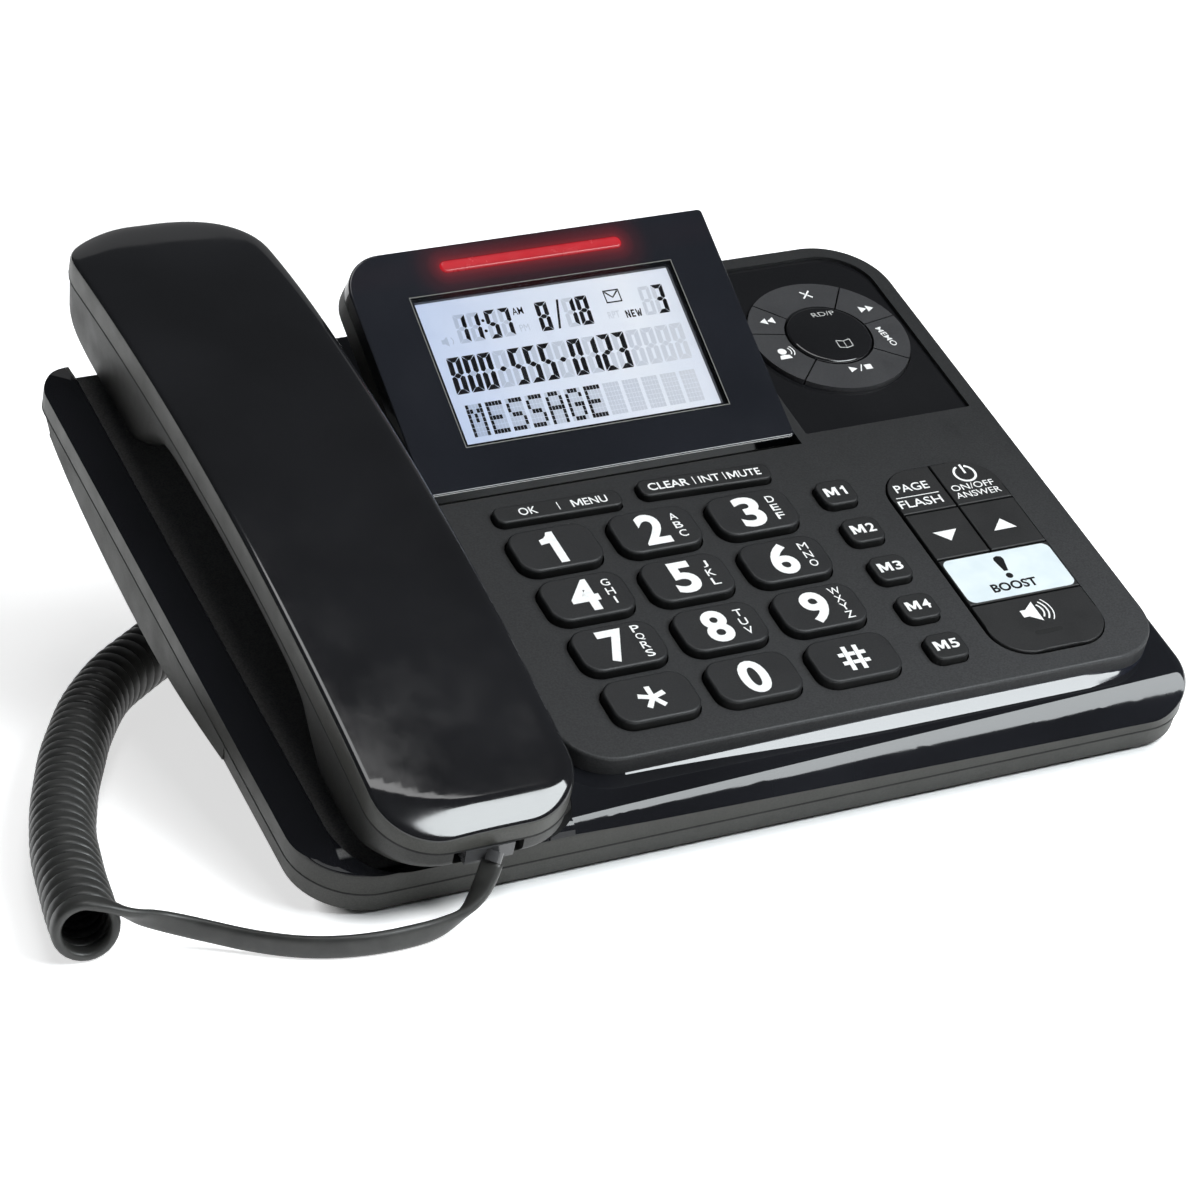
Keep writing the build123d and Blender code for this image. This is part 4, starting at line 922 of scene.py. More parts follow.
grip_top = shell("handset_top_shell", 0.0, top_height, lambda x, v: arch(v) - 6.6, gloss_handset)
grip_low = shell("handset_bottom_shell", 0.3, lambda x, v: arch(v) - 6.72, lambda x, v: under_height(x, v, 0.3), grip_dark)
taper(grip_low)
# the upper shell's side wall is satin
grip_top.data.materials.append(handset_side)
for face in grip_top.data.polygons:
    side_n = face.normal.dot(way(0, 0, 1))
    if abs(side_n) < 0.3:
        face.material_index = 1
cuts = [prism_points(rounded_box(-55.2, 0.8, 16.6, 4.6, 1.2), -92.0, -74.5, lambda x, n, v: at(x, v, n))]
for i in (-1, 0, 1):
    for j in (-1, 0, 1):
        cuts.append(prism_points(ring_points(-54.45 + 4.2 * i, 83.3 + 4.2 * j, 0.9), -14.0, -7.5, at))
for x in (-57.45, -54.45, -51.45):
    cuts.append(prism_points(ring_points(x, -58.5, 0.7), -14.0, -5.5, at))
boolean(grip_low, cuts)
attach(grip_top, "handset")
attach(grip_low, "handset")
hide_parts("handset_upper")
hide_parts("handset_lower")

# ------------------------------------------------------------------ printed legends
PRINT_UP = (0.004, 0.034)


def flat_solid(points, faces, place, lo, hi):
    """Verts and faces of a thin closed layer over flat polygons."""
    n = len(points)
    verts = [place(x, y, lo) for x, y in points] + [place(x, y, hi) for x, y in points]
    out = [tuple(reversed(f)) for f in faces] + [tuple(n + k for k in f) for f in faces]
    seen = {}
    for f in faces:
        for a, b in zip(f, f[1:] + f[:1]):
            seen[(a, b)] = True
    for a, b in list(seen):
        if (b, a) not in seen:
            out.append((a, b, n + b, n + a))
    return verts, out


def letters(text, bold=0.0):
    """Flat outlines of a line of text: points in its own units, and faces."""
    cu = bpy.data.curves.new("lettering", "FONT")
    cu.body = text
    cu.size = 1.0
    cu.resolution_u = 5
    cu.offset = bold
    obj = link(bpy.data.objects.new("lettering", cu))
    bpy.context.view_layer.update()
    mesh = bpy.data.meshes.new_from_object(obj.evaluated_get(bpy.context.evaluated_depsgraph_get()))
    bm = bmesh.new()
    bm.from_mesh(mesh)
    bmesh.ops.remove_doubles(bm, verts=bm.verts, dist=1e-5)
    bmesh.ops.dissolve_degenerate(bm, edges=bm.edges, dist=1e-6)
    bm.verts.ensure_lookup_table()
    bm.verts.index_update()
    points = [(v.co.x, v.co.y) for v in bm.verts]
    faces = []
    for f in bm.faces:
        ids = [v.index for v in f.verts]
        if f.normal.z < 0:
            ids.reverse()
        faces.append(tuple(ids))
    bm.free()
    bpy.data.objects.remove(obj)
    bpy.data.curves.remove(cu)
    bpy.data.meshes.remove(mesh)
    return points, faces


def fitted(points, faces, cx, cy, height=None, width=None, angle=0.0):
    """Scales flat outlines to a height and width, turns them and moves their middle to a place."""
    xs, ys = [p[0] for p in points], [p[1] for p in points]
    w, h = max(xs) - min(xs), max(ys) - min(ys)
    sy = height / h if height else width / w
    sx = width / w if width else sy
    mx, my = (max(xs) + min(xs)) / 2, (max(ys) + min(ys)) / 2
    c, s = math.cos(math.radians(angle)), math.sin(math.radians(angle))
    out = []
    for x, y in points:
        x, y = (x - mx) * sx, (y - my) * sy
        out.append((cx + x * c - y * s, cy + x * s + y * c))
    return out, faces


def word(text, cx, cy, height, width=None, angle=0.0, bold=0.0):
    return fitted(*letters(text, bold), cx, cy, height, width, angle)


def poly(points):
    """One convex or simple outline, anticlockwise."""
    area = sum(a[0] * b[1] - b[0] * a[1] for a, b in zip(points, points[1:] + points[:1]))
    if area < 0:
        points = points[::-1]
    return list(points), [tuple(range(len(points)))]


def band(points, width, closed=False):
    """A line of even width through points."""
    n = len(points)
    out = []
    for i, p in enumerate(points):
        a = points[(i - 1) % n] if closed or i > 0 else p
        b = points[(i + 1) % n] if closed or i < n - 1 else p
        dx, dy = b[0] - a[0], b[1] - a[1]
        q = max(math.hypot(dx, dy), 1e-9)
        ox, oy = -dy / q * width / 2, dx / q * width / 2
        out += [(p[0] + ox, p[1] + oy), (p[0] - ox, p[1] - oy)]
    faces = []
    for i in range(n if closed else n - 1):
        j = (i + 1) % n
        faces.append((2 * i, 2 * i + 1, 2 * j + 1, 2 * j))
    return out, faces


def arc(cx, cy, r, a0, a1, n=16, sx=1.0):
    return [(cx + sx * r * math.cos(math.radians(a0 + (a1 - a0) * k / n)), cy + r * math.sin(math.radians(a0 + (a1 - a0) * k / n))) for k in range(n + 1)]


def legend(name, body, shapes, top, material=None, place=at, lift=PRINT_UP):
    verts, faces = [], []
    for points, fs in shapes:
        v, f = flat_solid(points, fs, place, top + lift[0], top + lift[1])
        base = len(verts)
        verts += v
        faces += [tuple(base + k for k in q) for q in f]
    obj = mesh_object(name, verts, faces, material or white_ink, smooth=False)
    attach(obj, body)
    return obj


ONE = [(0.30, 0.0), (0.56, 0.0), (0.56, 1.0), (0.36, 1.0), (0.30, 0.90), (0.20, 0.83), (0.04, 0.79), (0.04, 0.63), (0.30, 0.66)]


def digit_one(cx, cy, height, width):
    return fitted(*poly(ONE), cx, cy, height, width)


STAR = []
for k in range(5):
    a = math.radians(90 + 72 * k)
    for da, r in ((-11, 1.0), (11, 1.0), (36, 0.30)):
        STAR.append((r * math.cos(a + math.radians(da)), r * math.sin(a + math.radians(da))))

digit_spots = [(i * 26.0, -17.3 * j) for j in range(4) for i in range(3)]
digit_names = ["key_1", "key_2", "key_3", "key_4", "key_5", "key_6", "key_7", "key_8", "key_9", "key_star", "key_0", "key_hash"]
small_letters = {"key_2": "ABC", "key_3": "DEF", "key_4": "GHI", "key_5": "JKL", "key_6": "MNO", "key_7": "PQRS", "key_8": "TUV", "key_9": "WXYZ"}
for (kx, kv), key in zip(digit_spots, digit_names):
    char = key[4:]
    shapes = []
    if char == "1":
        shapes.append(digit_one(kx - 1.0, kv - 0.2, 10.6, 4.3))
    elif char == "star":
        shapes.append(fitted(*poly(STAR), kx - 0.1, kv - 0.3, 6.9, 7.0))
    elif char == "hash":
        cx, cy = kx - 0.2, kv - 0.4
        for o in (-1.45, 1.45):
            shapes.append(band([(cx + o - 0.25, cy - 3.9), (cx + o + 0.25, cy + 3.9)], 1.15))
        # bars between and beside the uprights, so that no two layers overlap
        for o in (-1.35, 1.35):
            for a, b in ((-3.5, -2.06), (-0.84, 0.84), (2.06, 3.5)):
                shapes.append(band([(cx + a, cy + o), (cx + b, cy + o)], 1.15))
    elif char == "0":
        shapes.append(word("0", kx - 0.1, kv - 0.2, 10.4, 7.0, bold=0.032))
    else:
        shapes.append(word(char, kx - 0.9, kv, 10.4, 6.6 if char != "4" else 7.2, bold=0.032))
    text = small_letters.get(key)
    if text:
        n = len(text)
        pitch = 3.0 if n == 3 else 2.75
        for i, ch in enumerate(text):
            wide = {"I": 0.45, "J": 1.3, "W": 2.9, "M": 2.3}.get(ch, 2.0)
            shapes.append(word(ch, kx + 5.9, kv + pitch * ((n - 1) / 2 - i), 2.25, wide * 1.05, bold=0.0 if ch in "MNW" else 0.005))
    legend("print_" + key, key + "_body", shapes, 2.3)

SLIM_M = [(0, 0), (0, 1), (0.19, 1), (0.5, 0.36), (0.81, 1), (1, 1), (1, 0), (0.85, 0), (0.85, 0.74), (0.56, 0.12), (0.44, 0.12), (0.15, 0.74), (0.15, 0)]
BOLD_M = [(0, 0), (0, 1), (0.26, 1), (0.5, 0.46), (0.74, 1), (1, 1), (1, 0), (0.79, 0), (0.79, 0.60), (0.58, 0.12), (0.42, 0.12), (0.21, 0.60), (0.21, 0)]
for k in range(5):
    cv = 2.0 - 13.9 * k
    shapes = [fitted(*poly(BOLD_M), 74.3, cv, 3.0, 3.5)]
    shapes.append(digit_one(77.6, cv, 3.0, 1.25) if k == 0 else word(str(k + 1), 77.8, cv, 3.0, 2.2, bold=0.02))
    legend(f"print_memory_{k + 1}", f"memory_key_{k + 1}_body", shapes, 2.0)


def turned(cx, cv, x, v, angle):
    c, s = math.cos(math.radians(angle)), math.sin(math.radians(angle))
    return cx + (x - cx) * c - (v - cv) * s, cv + (x - cx) * s + (v - cv) * c


legend(
    "print_ok_menu",
    "ok_menu_bar_body",
    [word("OK", -1.0, 13.6, 2.5, 4.6, -1.0, 0.006), band([(6.9, 12.2), (6.9, 14.8)], 0.22), fitted(*poly(SLIM_M), 11.7, 13.42, 2.4, 2.7), word("ENU", 16.5, 13.34, 2.4, 6.1, -1.0, 0.006)],
    1.9,
)
legend(
    "print_clear_mute",
    "clear_mute_bar_body",
    [
        word("CLEAR", 36.3, 14.25, 2.5, 10.6, -2.0, 0.014),
        band([(43.1, 12.8), (43.1, 15.4)], 0.22),
        word("INT", 47.2, 13.95, 2.4, 5.4, -2.0, 0.004),
        band([(51.2, 12.6), (51.2, 15.2)], 0.22),
        fitted(*poly(SLIM_M), 53.4, 13.7, 2.4, 2.6), word("UTE", 57.9, 13.55, 2.4, 5.6, -2.0, 0.006),
    ],
    1.9,
)

# the cluster at the right
legend(
    "print_page_flash",
    "page_flash_key_body",
    [word("PAGE", 95.9, 0.2, 2.7, 9.2, bold=0.006), band([(90.0, -2.9), (101.8, -3.0)], 0.22), word("FLASH", 95.5, -5.3, 2.7, 11.8, bold=0.006)],
    0.7,
)
legend(
    "print_answer_power",
    "answer_power_key_body",
    [
        band(arc(111.7, 1.6, 2.75, 112, 428, 30), 0.62),
        band([(111.9, 1.6), (111.9, 4.9)], 0.62),
        word("ON/OFF", 111.4, -2.9, 2.05, 11.8, bold=0.0),
        word("ANSWER", 111.6, -5.6, 2.05, 12.4, bold=0.0),
    ],
    0.7,
)
legend("print_volume_down", "volume_down_key_body", [poly([(92.8, -16.3), (99.3, -16.3), (96.1, -19.9)])], 0.7)
legend("print_volume_up", "volume_up_key_body", [poly([(108.4, -19.3), (114.7, -19.3), (111.9, -15.6)])], 0.7)
bx = [deck_of(v.co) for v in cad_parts["boost_key"].data.vertices]
bx = [q for q in bx if q[2] > 0.3]
bx0, bx1, bv0, bv1 = min(q[0] for q in bx), max(q[0] for q in bx), min(q[1] for q in bx), max(q[1] for q in bx)
legend("boost_window", "boost_key_body", [poly(rounded_box((bx0 + bx1) / 2, (bv0 + bv1) / 2, bx1 - bx0 - 0.9, bv1 - bv0 - 0.9, 2.0, 8))], 0.7, lit_key, at, (0.004, 0.03))
legend(
    "print_boost",
    "boost_key_body",
    [
        poly([(103.4, -33.0), (104.5, -33.0), (105.4, -29.0), (105.1, -28.1), (104.1, -27.7), (103.0, -28.1), (102.7, -29.0)]),
        poly(ring_points(103.9, -34.7, 0.92, 16)),
        word("BOOST", 103.4, -38.0, 2.9, 12.4, bold=0.03),
    ],
    0.7,
    black_ink,
    at,
    (0.032, 0.055),
)
legend(
    "print_speaker",
    "speaker_key_body",
    [
        poly([(99.9, -46.6), (101.4, -46.6), (104.2, -44.4), (104.2, -51.0), (101.4, -48.9), (99.9, -48.9)]),
        band(arc(102.6, -47.7, 3.1, -42, 42, 10), 0.42),
        band(arc(102.6, -47.7, 4.3, -42, 42, 10), 0.42),
        band(arc(102.6, -47.7, 5.5, -40, 40, 10), 0.30),
    ],
    0.7,
)
legend("speaker_key_slot", "speaker_key_body", [poly(rounded_box(103.6, -54.4, 7.4, 1.35, 0.55))], 0.7, seam_black)

# round keys: symbols, each on the key it lies on
ring_names = [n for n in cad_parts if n.startswith("nav_") and n.endswith("_key") and n != "nav_centre_key"]
ring_middle = {}
for n in sorted(ring_names):
    pts = [deck_of(v.co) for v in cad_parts[n].data.vertices]
    ring_middle[n] = (sum(p[0] for p in pts) / len(pts), sum(p[1] for p in pts) / len(pts))


def ring_key(x, v):
    a = math.atan2(v - 58.7, x - 103.9)
    return min(sorted(ring_middle), key=lambda n: abs(math.remainder(math.atan2(ring_middle[n][1] - 58.7, ring_middle[n][0] - 103.9) - a, 2 * math.pi)))


ring_marks = [
    ("print_delete", 105.7, 75.0, [band([(104.4, 73.7), (107.0, 76.3)], 0.45), band([(104.4, 76.3), (105.45, 75.25)], 0.45), band([(105.95, 74.75), (107.0, 73.7)], 0.45)]),
    ("print_forward", 118.6, 66.3, [poly([(116.7, 65.1), (118.6, 66.3), (116.7, 67.5)]), poly([(118.8, 65.1), (120.7, 66.3), (118.8, 67.5)])]),
    ("print_memo", 118.5, 54.9, [word("MEMO", 118.5, 54.9, 1.7, 7.6, -80.0, 0.002)]),
    ("print_play", 105.8, 45.0, [poly([(102.7, 43.9), (104.8, 45.0), (102.7, 46.1)]), band([(105.3, 43.8), (106.5, 46.2)], 0.28), poly([(107.0, 44.1), (108.9, 44.1), (108.9, 45.9), (107.0, 45.9)])]),
    ("print_announce", 89.1, 54.7, [poly(ring_points(88.7, 55.4, 1.15, 16)), poly([(87.0, 52.6), (90.4, 52.6), (90.0, 53.9), (88.7, 54.1), (87.4, 53.9)]), band(arc(89.2, 55.2, 1.9, -40, 40, 6), 0.28), band(arc(89.2, 55.2, 2.7, -40, 40, 6), 0.28)]),
    ("print_rewind", 90.6, 67.4, [poly([(90.4, 66.2), (88.5, 67.4), (90.4, 68.6)]), poly([(92.5, 66.2), (90.6, 67.4), (92.5, 68.6)])]),
]
for name, x, v, shapes in ring_marks:
    legend(name, ring_key(x, v) + "_body", shapes, 0.3)


def disc_place(x, v, n):
    """A point n above the domed disc."""
    r2 = (x - 103.9) ** 2 + (v - 58.7) ** 2
    return at(x, v, 1.4 - 80.0 + math.sqrt(6400.0 - r2) + n)


book = [
    band([(103.7, 52.7), (105.6, 52.2), (107.5, 52.7)], 0.25),
    band([(103.7, 52.7), (103.7, 55.2)], 0.25),
    band([(107.5, 52.7), (107.5, 55.2)], 0.25),
    band([(103.7, 55.2), (105.6, 54.7), (107.5, 55.2)], 0.25),
    band([(105.6, 52.4), (105.6, 54.6)], 0.2),
]
legend("print_disc", "nav_centre_key_body", book + [word("RD/P", 105.8, 66.1, 1.8, 6.4)], 0.0, grey_ink, disc_place, (0.006, 0.036))

# ------------------------------------------------------------------ what the display shows
SEGMENTS = {"0": "abcdef", "1": "bc", "2": "abged", "3": "abgcd", "4": "fgbc", "5": "afgcd", "6": "afgedc", "7": "abc", "8": "abcdefg", "9": "abcdfg", "-": "g", " ": ""}


def seven(char, x0, h0, w, hh, thick, dark, pale, slant=0.06):
    """One seven-segment figure: lit segments go to dark, the rest to pale."""
    t2 = thick / 2
    g = 0.10
    mid = h0 + hh / 2

    def lean(pts):
        return [(x + (y - h0) * slant, y) for x, y in pts]

    def across(y, side):
        a, b = x0 + t2, x0 + w - t2
        if side == 1:
            return [(x0 + g, y + t2), (x0 + w - g, y + t2), (x0 + w - thick, y - t2), (x0 + thick, y - t2)]
        if side == -1:
            return [(x0 + thick, y + t2), (x0 + w - thick, y + t2), (x0 + w - g, y - t2), (x0 + g, y - t2)]
        return [(a + g, y), (a + t2 + g, y + t2), (b - t2 - g, y + t2), (b - g, y), (b - t2 - g, y - t2), (a + t2 + g, y - t2)]

    def upright(left, top):
        lo, hi = (mid + 0.06, h0 + hh - g * 1.6) if top else (h0 + g * 1.6, mid - 0.06)
        xa, xb = (x0, x0 + thick) if left else (x0 + w, x0 + w - thick)
        if top:
            return [(xa, hi), (xa, lo + t2 * 0.6), ((xa + xb) / 2, lo), (xb, lo + t2), (xb, hi - thick + g)]
        return [(xa, lo), (xa, hi - t2 * 0.6), ((xa + xb) / 2, hi), (xb, hi - t2), (xb, lo + thick - g)]

    shape = {
        "a": across(h0 + hh - t2, 1),
        "d": across(h0 + t2, -1),
        "g": across(mid, 0),
        "b": upright(False, True),
        "c": upright(False, False),
        "f": upright(True, True),
        "e": upright(True, False),
    }
    for k, pts in shape.items():
        (dark if k in SEGMENTS[char] else pale).append(poly(lean(pts)))


dark, pale = [], []
for i, ch in enumerate("800-555-0123    "):
    seven(ch, -3.75 + 3.99 * i, 26.4, 3.4, 10.1, 1.32, dark, pale)
for ch, x in (("1", 2.0), ("1", 5.6), ("5", 10.2), ("7", 13.8)):
    seven(ch, x, 39.9, 3.0, 7.9, 1.08, dark, pale)
for y in (42.3, 45.2):
    dark.append(poly(ring_points(9.45 + (y - 40) * 0.06, y, 0.42, 10)))
dark.append(word("AM", 19.4, 46.4, 2.0, 2.9, bold=0.006))
pale.append(word("PM", 19.6, 41.6, 1.9, 2.5))
for ch, x in (("8", 23.8), ("1", 31.0), ("8", 34.7)):
    seven(ch, x, 39.8, 3.15, 8.1, 1.1, dark, pale)
dark.append(poly([(28.2, 39.9), (28.8, 39.9), (30.9, 47.9), (30.3, 47.9)]))
dark.append(band([(43.2, 44.9), (47.2, 44.9), (47.2, 48.2), (43.2, 48.2)], 0.46, True))
dark.append(band([(43.5, 47.9), (45.2, 46.2), (46.9, 47.9)], 0.42))
pale.append(word("RPT", 43.7, 41.4, 1.9, 3.1))
dark.append(fitted(*poly([(0, 0), (0, 1), (0.28, 1), (0.72, 0.36), (0.72, 1), (1, 1), (1, 0), (0.72, 0), (0.28, 0.64), (0.28, 0)]), 47.4, 41.0, 2.1, 1.15))
dark.append(fitted(*poly([(0, 0), (0, 1), (1, 1), (1, 0.8), (0.36, 0.8), (0.36, 0.6), (0.9, 0.6), (0.9, 0.4), (0.36, 0.4), (0.36, 0.2), (1, 0.2), (1, 0)]), 48.8, 41.0, 2.1, 0.95))
dark.append(fitted(*poly([(0, 1), (0.2, 0), (0.4, 0), (0.5, 0.42), (0.6, 0), (0.8, 0), (1, 1), (0.8, 1), (0.68, 0.36), (0.57, 0.8), (0.43, 0.8), (0.32, 0.36), (0.2, 1)]), 50.4, 41.0, 2.1, 1.6))
seven(" ", 52.0, 39.8, 3.0, 8.1, 0.92, dark, pale)
seven("3", 55.5, 39.8, 3.15, 8.1, 1.1, dark, pale)
pale.append(poly([(-2.6, 40.4), (-1.9, 40.4), (-0.9, 39.6), (-0.9, 42.4), (-1.9, 41.6), (-2.6, 41.6)]))
pale.append(band(arc(-0.9, 41.0, 1.3, -45, 45, 6), 0.25))
DOTS = {
    "M": ("10001", "11011", "10101", "10101", "10001", "10001", "10001"),
    "E": ("11111", "10000", "10000", "11110", "10000", "10000", "11111"),
    "S": ("01111", "10000", "10000", "01110", "00001", "00001", "11110"),
    "A": ("01110", "10001", "10001", "11111", "10001", "10001", "10001"),
    "G": ("01110", "10001", "10000", "10111", "10001", "10001", "01110"),
    " ": ("00000",) * 7,
}
dot_w, dot_h = 0.86, 1.27
for i, ch in enumerate("MESSAGE     "):
    for r in range(7):
        for q in range(5):
            x, y = -3.3 + 5.22 * i + dot_w * q + (6 - r) * 0.05, 14.5 + dot_h * (6 - r)
            (dark if DOTS[ch][r][q] == "1" else pale).append(poly([(x, y), (x + dot_w - 0.09, y), (x + dot_w - 0.09, y + dot_h - 0.11), (x, y + dot_h - 0.11)]))
lcd_dark = print_white("lcd_dark", (0.003, 0.003, 0.005), (0.006, 0.006, 0.009))
lcd_dark.node_tree.nodes["Principled BSDF"].inputs["Specular IOR Level"].default_value = 0.1
lcd_pale = idle_segments()
legend("lcd_figures", "display", dark, -2.2, lcd_dark, disp, (0.01, 0.05))
legend("lcd_idle_figures", "display", pale, -2.2, lcd_pale, disp, (0.01, 0.03))

# ------------------------------------------------------------------ seams, painted edge highlights and the foot of the deck
def rounded_outline(corners, n=12):
    """Outline points with outward directions; corners are ((x, y), radius) anticlockwise."""
    out = []
    k = len(corners)
    for i, ((x, y), r) in enumerate(corners):
        ax, ay = corners[i - 1][0]
        bx, by = corners[(i + 1) % k][0]
        u = Vector((ax - x, ay - y)).normalized()
        w = Vector((bx - x, by - y)).normalized()
        half = math.acos(max(-1.0, min(1.0, u.dot(w)))) / 2
        centre = Vector((x, y)) + (u + w).normalized() * (r / math.sin(half))
        start = Vector((x, y)) + u * (r / math.tan(half)) - centre
        end = Vector((x, y)) + w * (r / math.tan(half)) - centre
        a0, a1 = math.atan2(start.y, start.x), math.atan2(end.y, end.x)
        while a1 < a0:
            a1 += 2 * math.pi
        for q in range(n + 1):
            a = a0 + (a1 - a0) * q / n
            d = Vector((math.cos(a), math.sin(a)))
            p = centre + d * r
            out.append((p.x, p.y, d.x, d.y))
    return out


def section_ring(name, outline, section, material, body):
    """A closed ring: section gives (outward, n) pairs for each outline point."""
    verts, faces = [], []
    k = None
    for x, v, dx, dv in outline:
        pts = section(x, v)
        k = len(pts)
        for o, n in pts:
            verts.append(at(x + dx * o, v + dv * o, n))
    m = len(outline)
    for i in range(m):
        j = (i + 1) % m
        for q in range(k):
            r = (q + 1) % k
            faces.append((i * k + q, j * k + q, j * k + r, i * k + r))
    obj = mesh_object(name, verts, faces, material)
    sharp_by_angle(obj, 35)
    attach(obj, body)
    return obj


def section_strip(name, path, section, material, body, place=at):
    """A closed strip along an open path; both ends are capped."""
    verts, faces = [], []
    for x, v, dx, dv in path:
        pts = section(x, v)
        k = len(pts)
        for o, n in pts:
            verts.append(place(x + dx * o, v + dv * o, n))
    m = len(path)
    for i in range(m - 1):
        for q in range(k):
            r = (q + 1) % k
            faces.append((i * k + q, (i + 1) * k + q, (i + 1) * k + r, i * k + r))
    faces.append(tuple(range(k)))
    faces.append(tuple(reversed([(m - 1) * k + q for q in range(k)])))
    obj = mesh_object(name, verts, faces, material)
    sharp_by_angle(obj, 35)
    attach(obj, body)
    return obj


case_line = rounded_outline([((-91.4, -79.0), 17.0), ((136.2, -79.0), 15.0), ((136.2, 98.8), 24.0), ((-91.4, 98.8), 9.0)])
section_ring("case_seam", case_line, lambda x, v: [(-0.5, -13.12), (0.06, -13.12), (0.06, -12.72), (-0.5, -12.72)], seam_black, "base")
grip_line = rounded_outline([((-79.0, -85.6), 15.0), ((-31.2, -85.6), 15.0), ((-28.9, 130.5), 22.0), ((-79.0, 130.5), 22.0)])
dense = []
for i, (p, q) in enumerate(zip(grip_line, grip_line[1:] + grip_line[:1])):
    span = math.hypot(q[0] - p[0], q[1] - p[1])
    parts = max(1, int(span / 4.0))
    for k in range(parts):
        f = k / parts
        dense.append(tuple(a + (b - a) * f for a, b in zip(p, q)))
section_ring("handset_seam", dense, lambda x, v: [(-0.5, arch(v) - 7.02), (0.03, arch(v) - 7.02), (0.03, arch(v) - 6.50), (-0.5, arch(v) - 6.50)], seam_black, "handset")

# gloss foot between the deck's front wall and the ledge
foot_path = []
for k in range(0, 45):
    foot_path.append((-12.5 + (116.5 + 12.5) * k / 44.0, -66.5, 0.0, -1.0))
for k in range(1, 13):
    a = math.radians(-90.0 + 90.0 * k / 12.0 * 0.8)
    foot_path.append((116.5 + 14.5 * math.cos(a), -52.0 + 14.5 * math.sin(a), math.cos(a), math.sin(a)))


def foot_width(x, v):
    grow = min(1.0, max(0.0, (x + 16.0) / 74.0))
    w = 0.5 + 2.7 * grow * grow * (3 - 2 * grow)
    if x > 108.0:
        f = min(1.0, (x - 108.0) / 16.0)
        w = w * (1.0 - f) + 0.25 * f
    return w


def foot_section(x, v):
    w = foot_width(x, v)
    rise = 0.0
    pts = [(w, -4.83)]
    for k, deg in enumerate((22.0, 25.0, 28.0, 31.0)):
        rise += w / 4.0 * math.tan(math.radians(deg))
        pts.append((w - w * (k + 1) / 4.0, -4.83 + rise))
    return pts + [(-0.15, -4.83 + rise), (-0.15, -4.9), (w, -4.9)]


section_strip("deck_foot", foot_path, foot_section, gloss_black, "base")

# painted highlight: a fine bright strip along the face plate's left edge
rim_path = [(-24.93, -53.5 + 75.0 * k / 20.0, -1.0, 0.0) for k in range(21)]
section_strip("deck_edge_highlight", rim_path, lambda x, v: [(0.0, -0.62), (0.12, -0.62), (0.12, -0.36), (0.0, -0.30)], highlight_olive, "base")

# display: painted highlights on its lower edge and round the edge of the clear window
edge_path = [(-20.9 + 96.8 * k / 20.0, 0.02, 0.0, -1.0) for k in range(21)]
section_strip("display_edge_highlight", edge_path, lambda x, h: [(-0.10, -0.42), (0.05, -0.42), (0.05, -0.16), (-0.10, -0.10)], highlight_silver, "display", disp)


def window_ring(name, grow, wide, low, high, material):
    verts, faces = [], []
    x0, x1, h0, h1 = -6.4 - grow, 62.0 + grow, 12.3 - grow, 52.0 + grow
    for x, h, sx, sh in ((x0, h0, -1, -1), (x1, h0, 1, -1), (x1, h1, 1, 1), (x0, h1, -1, 1)):
        for o, d in ((0.0, low), (wide, low), (wide, high), (0.0, high)):
            verts.append(disp(x + sx * o, h + sh * o, d))
    for i in range(4):
        j = (i + 1) % 4
        for q in range(4):
            r = (q + 1) % 4
            faces.append((i * 4 + q, j * 4 + q, j * 4 + r, i * 4 + r))
    obj = mesh_object(name, verts, faces, material, smooth=False)
    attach(obj, "display")
    return obj


window_ring("window_edge_highlight", 0.95, 0.22, -0.02, 0.05, highlight_olive)

# ------------------------------------------------------------------ floor and light
floor_mat, t, b = new_material("floor")
c = coords(t)
paper = ramp(t, noise(t, 3.0, 2.0, 0.5, c), [(0.3, (0.93, 0.93, 0.93)), (0.7, (0.95, 0.95, 0.95))])
t.links.new(paper, b.inputs["Base Color"])
split = t.nodes.new("ShaderNodeVectorMath")
split.operation = "LENGTH"
t.links.new(c, split.inputs[0])
glow = ramp(t, map_range(t, split.outputs["Value"], 0.25, 1.0, 0.0, 1.0), [(0.0, (0.66, 0.66, 0.66)), (1.0, (0.9, 0.9, 0.9))])
# painted contact shadow: under the front of the slab, where it nearly touches, the floor's own glow is taken away
q = t.nodes.new("ShaderNodeVectorMath")
q.operation = "SUBTRACT"
t.links.new(c, q.inputs[0])
q.inputs[1].default_value = (0.0003, -0.0790, 0.0)
q2 = t.nodes.new("ShaderNodeVectorMath")
q2.operation = "ABSOLUTE"
t.links.new(q.outputs["Vector"], q2.inputs[0])
q3 = t.nodes.new("ShaderNodeVectorMath")
q3.operation = "SUBTRACT"
t.links.new(q2.outputs["Vector"], q3.inputs[0])
q3.inputs[1].default_value = (0.0965, 0.0000, 0.0)
q4 = t.nodes.new("ShaderNodeVectorMath")
q4.operation = "MAXIMUM"
t.links.new(q3.outputs["Vector"], q4.inputs[0])
q4.inputs[1].default_value = (0.0, 0.0, 0.0)
q5 = t.nodes.new("ShaderNodeVectorMath")
q5.operation = "LENGTH"
t.links.new(q4.outputs["Vector"], q5.inputs[0])
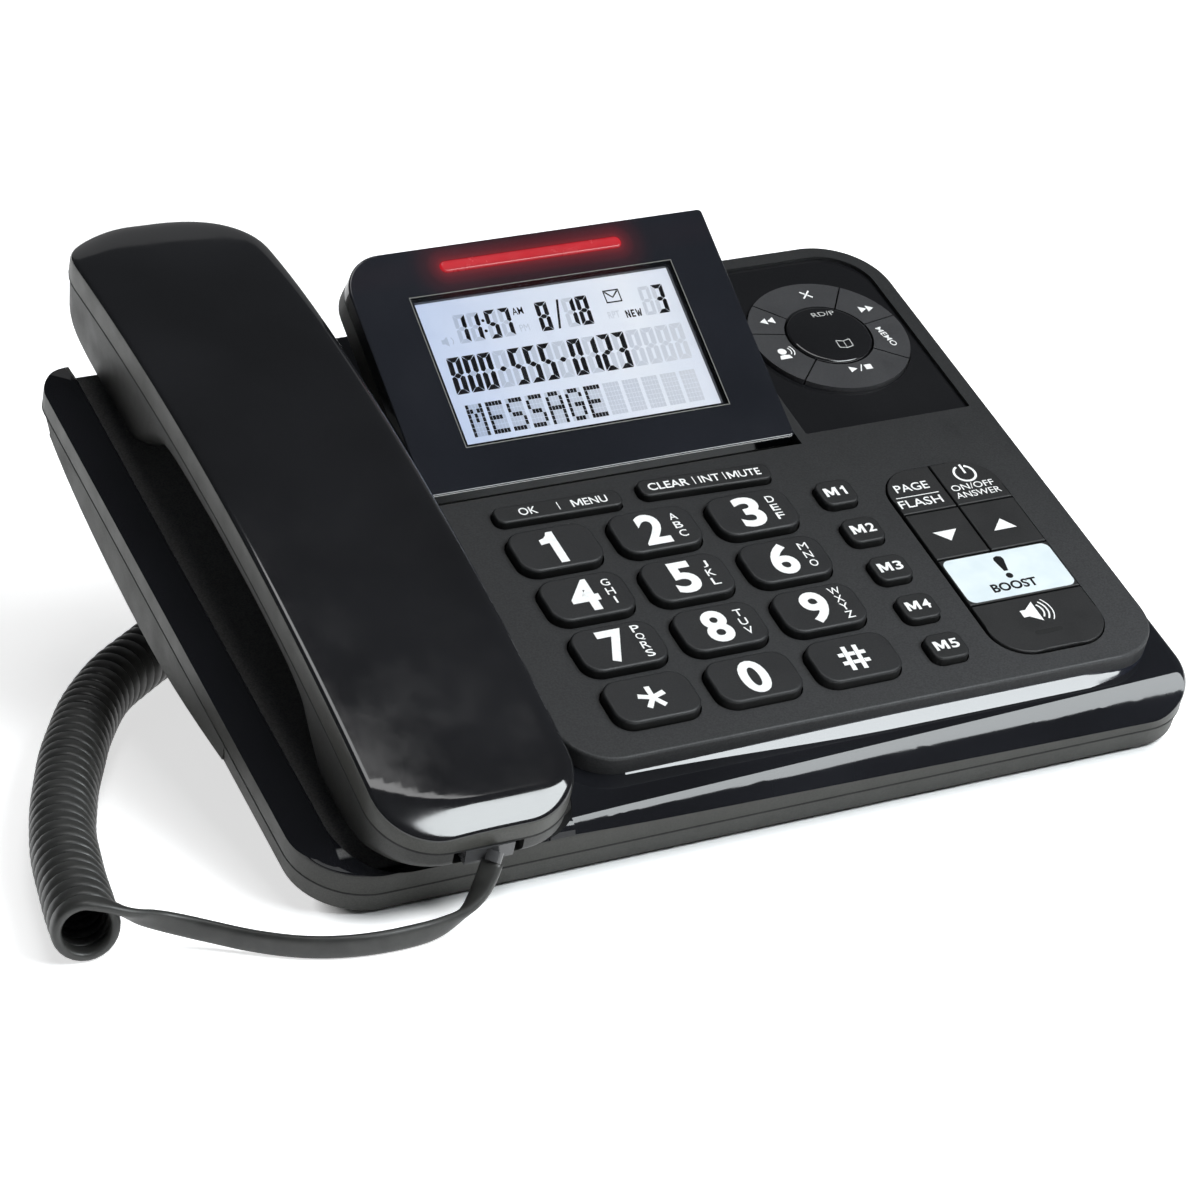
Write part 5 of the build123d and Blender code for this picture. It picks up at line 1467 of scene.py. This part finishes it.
painted_contact_shadow = ramp(t, map_range(t, q5.outputs["Value"], 0.0062, 0.0130, 0.0, 1.0), [(0.0, (0.0, 0.0, 0.0)), (0.5, (0.45, 0.45, 0.45)), (1.0, (1.0, 1.0, 1.0))])
glow_under_painted_shadow = t.nodes.new("ShaderNodeMix")
glow_under_painted_shadow.data_type = "RGBA"
glow_under_painted_shadow.blend_type = "MULTIPLY"
glow_under_painted_shadow.inputs[0].default_value = 1.0
t.links.new(glow, glow_under_painted_shadow.inputs[6])
t.links.new(painted_contact_shadow, glow_under_painted_shadow.inputs[7])
t.links.new(glow_under_painted_shadow.outputs[2], b.inputs["Emission Color"])
b.inputs["Emission Strength"].default_value = 1.0
t.links.new(map_range(t, noise(t, 9.0), 0.3, 0.7, 0.75, 0.85), b.inputs["Roughness"])
b.inputs["Specular IOR Level"].default_value = 0.1
bm = bmesh.new()
bmesh.ops.create_grid(bm, x_segments=8, y_segments=8, size=6.0)
mesh = bpy.data.meshes.new("floor")
bm.to_mesh(mesh)
bm.free()
mesh.materials.append(floor_mat)
floor = link(bpy.data.objects.new("floor", mesh))

world = bpy.data.worlds.new("world")
scene.world = world
world.use_nodes = True
world.node_tree.nodes["Background"].inputs["Color"].default_value = (0.9, 0.95, 1.0, 1.0)
world.node_tree.nodes["Background"].inputs["Strength"].default_value = 0.06
scene.view_settings.view_transform = "Standard"


def softbox(name, direction, distance, width, height, power, color=(1, 1, 1)):
    light = bpy.data.lights.new(name, "AREA")
    light.shape = "RECTANGLE"
    light.size, light.size_y = width, height
    light.energy = power
    light.color = color
    obj = link(bpy.data.objects.new(name, light))
    d = Vector(direction).normalized()
    target = Vector((0, 0, 0.05))
    obj.location = target + d * distance
    obj.rotation_euler = (-d).to_track_quat("-Z", "Y").to_euler()
    return obj


softbox("front_box", (0.416, -0.594, 0.688), 1.2, 0.85, 0.50, 17.0, (0.93, 0.98, 1.0))
softbox("top_box", (0.09, 0.02, 1.0), 2.6, 1.2, 1.3, 17)
softbox("rear_fill", (0.4, 0.85, 0.32), 2.2, 2.4, 1.1, 1.4)
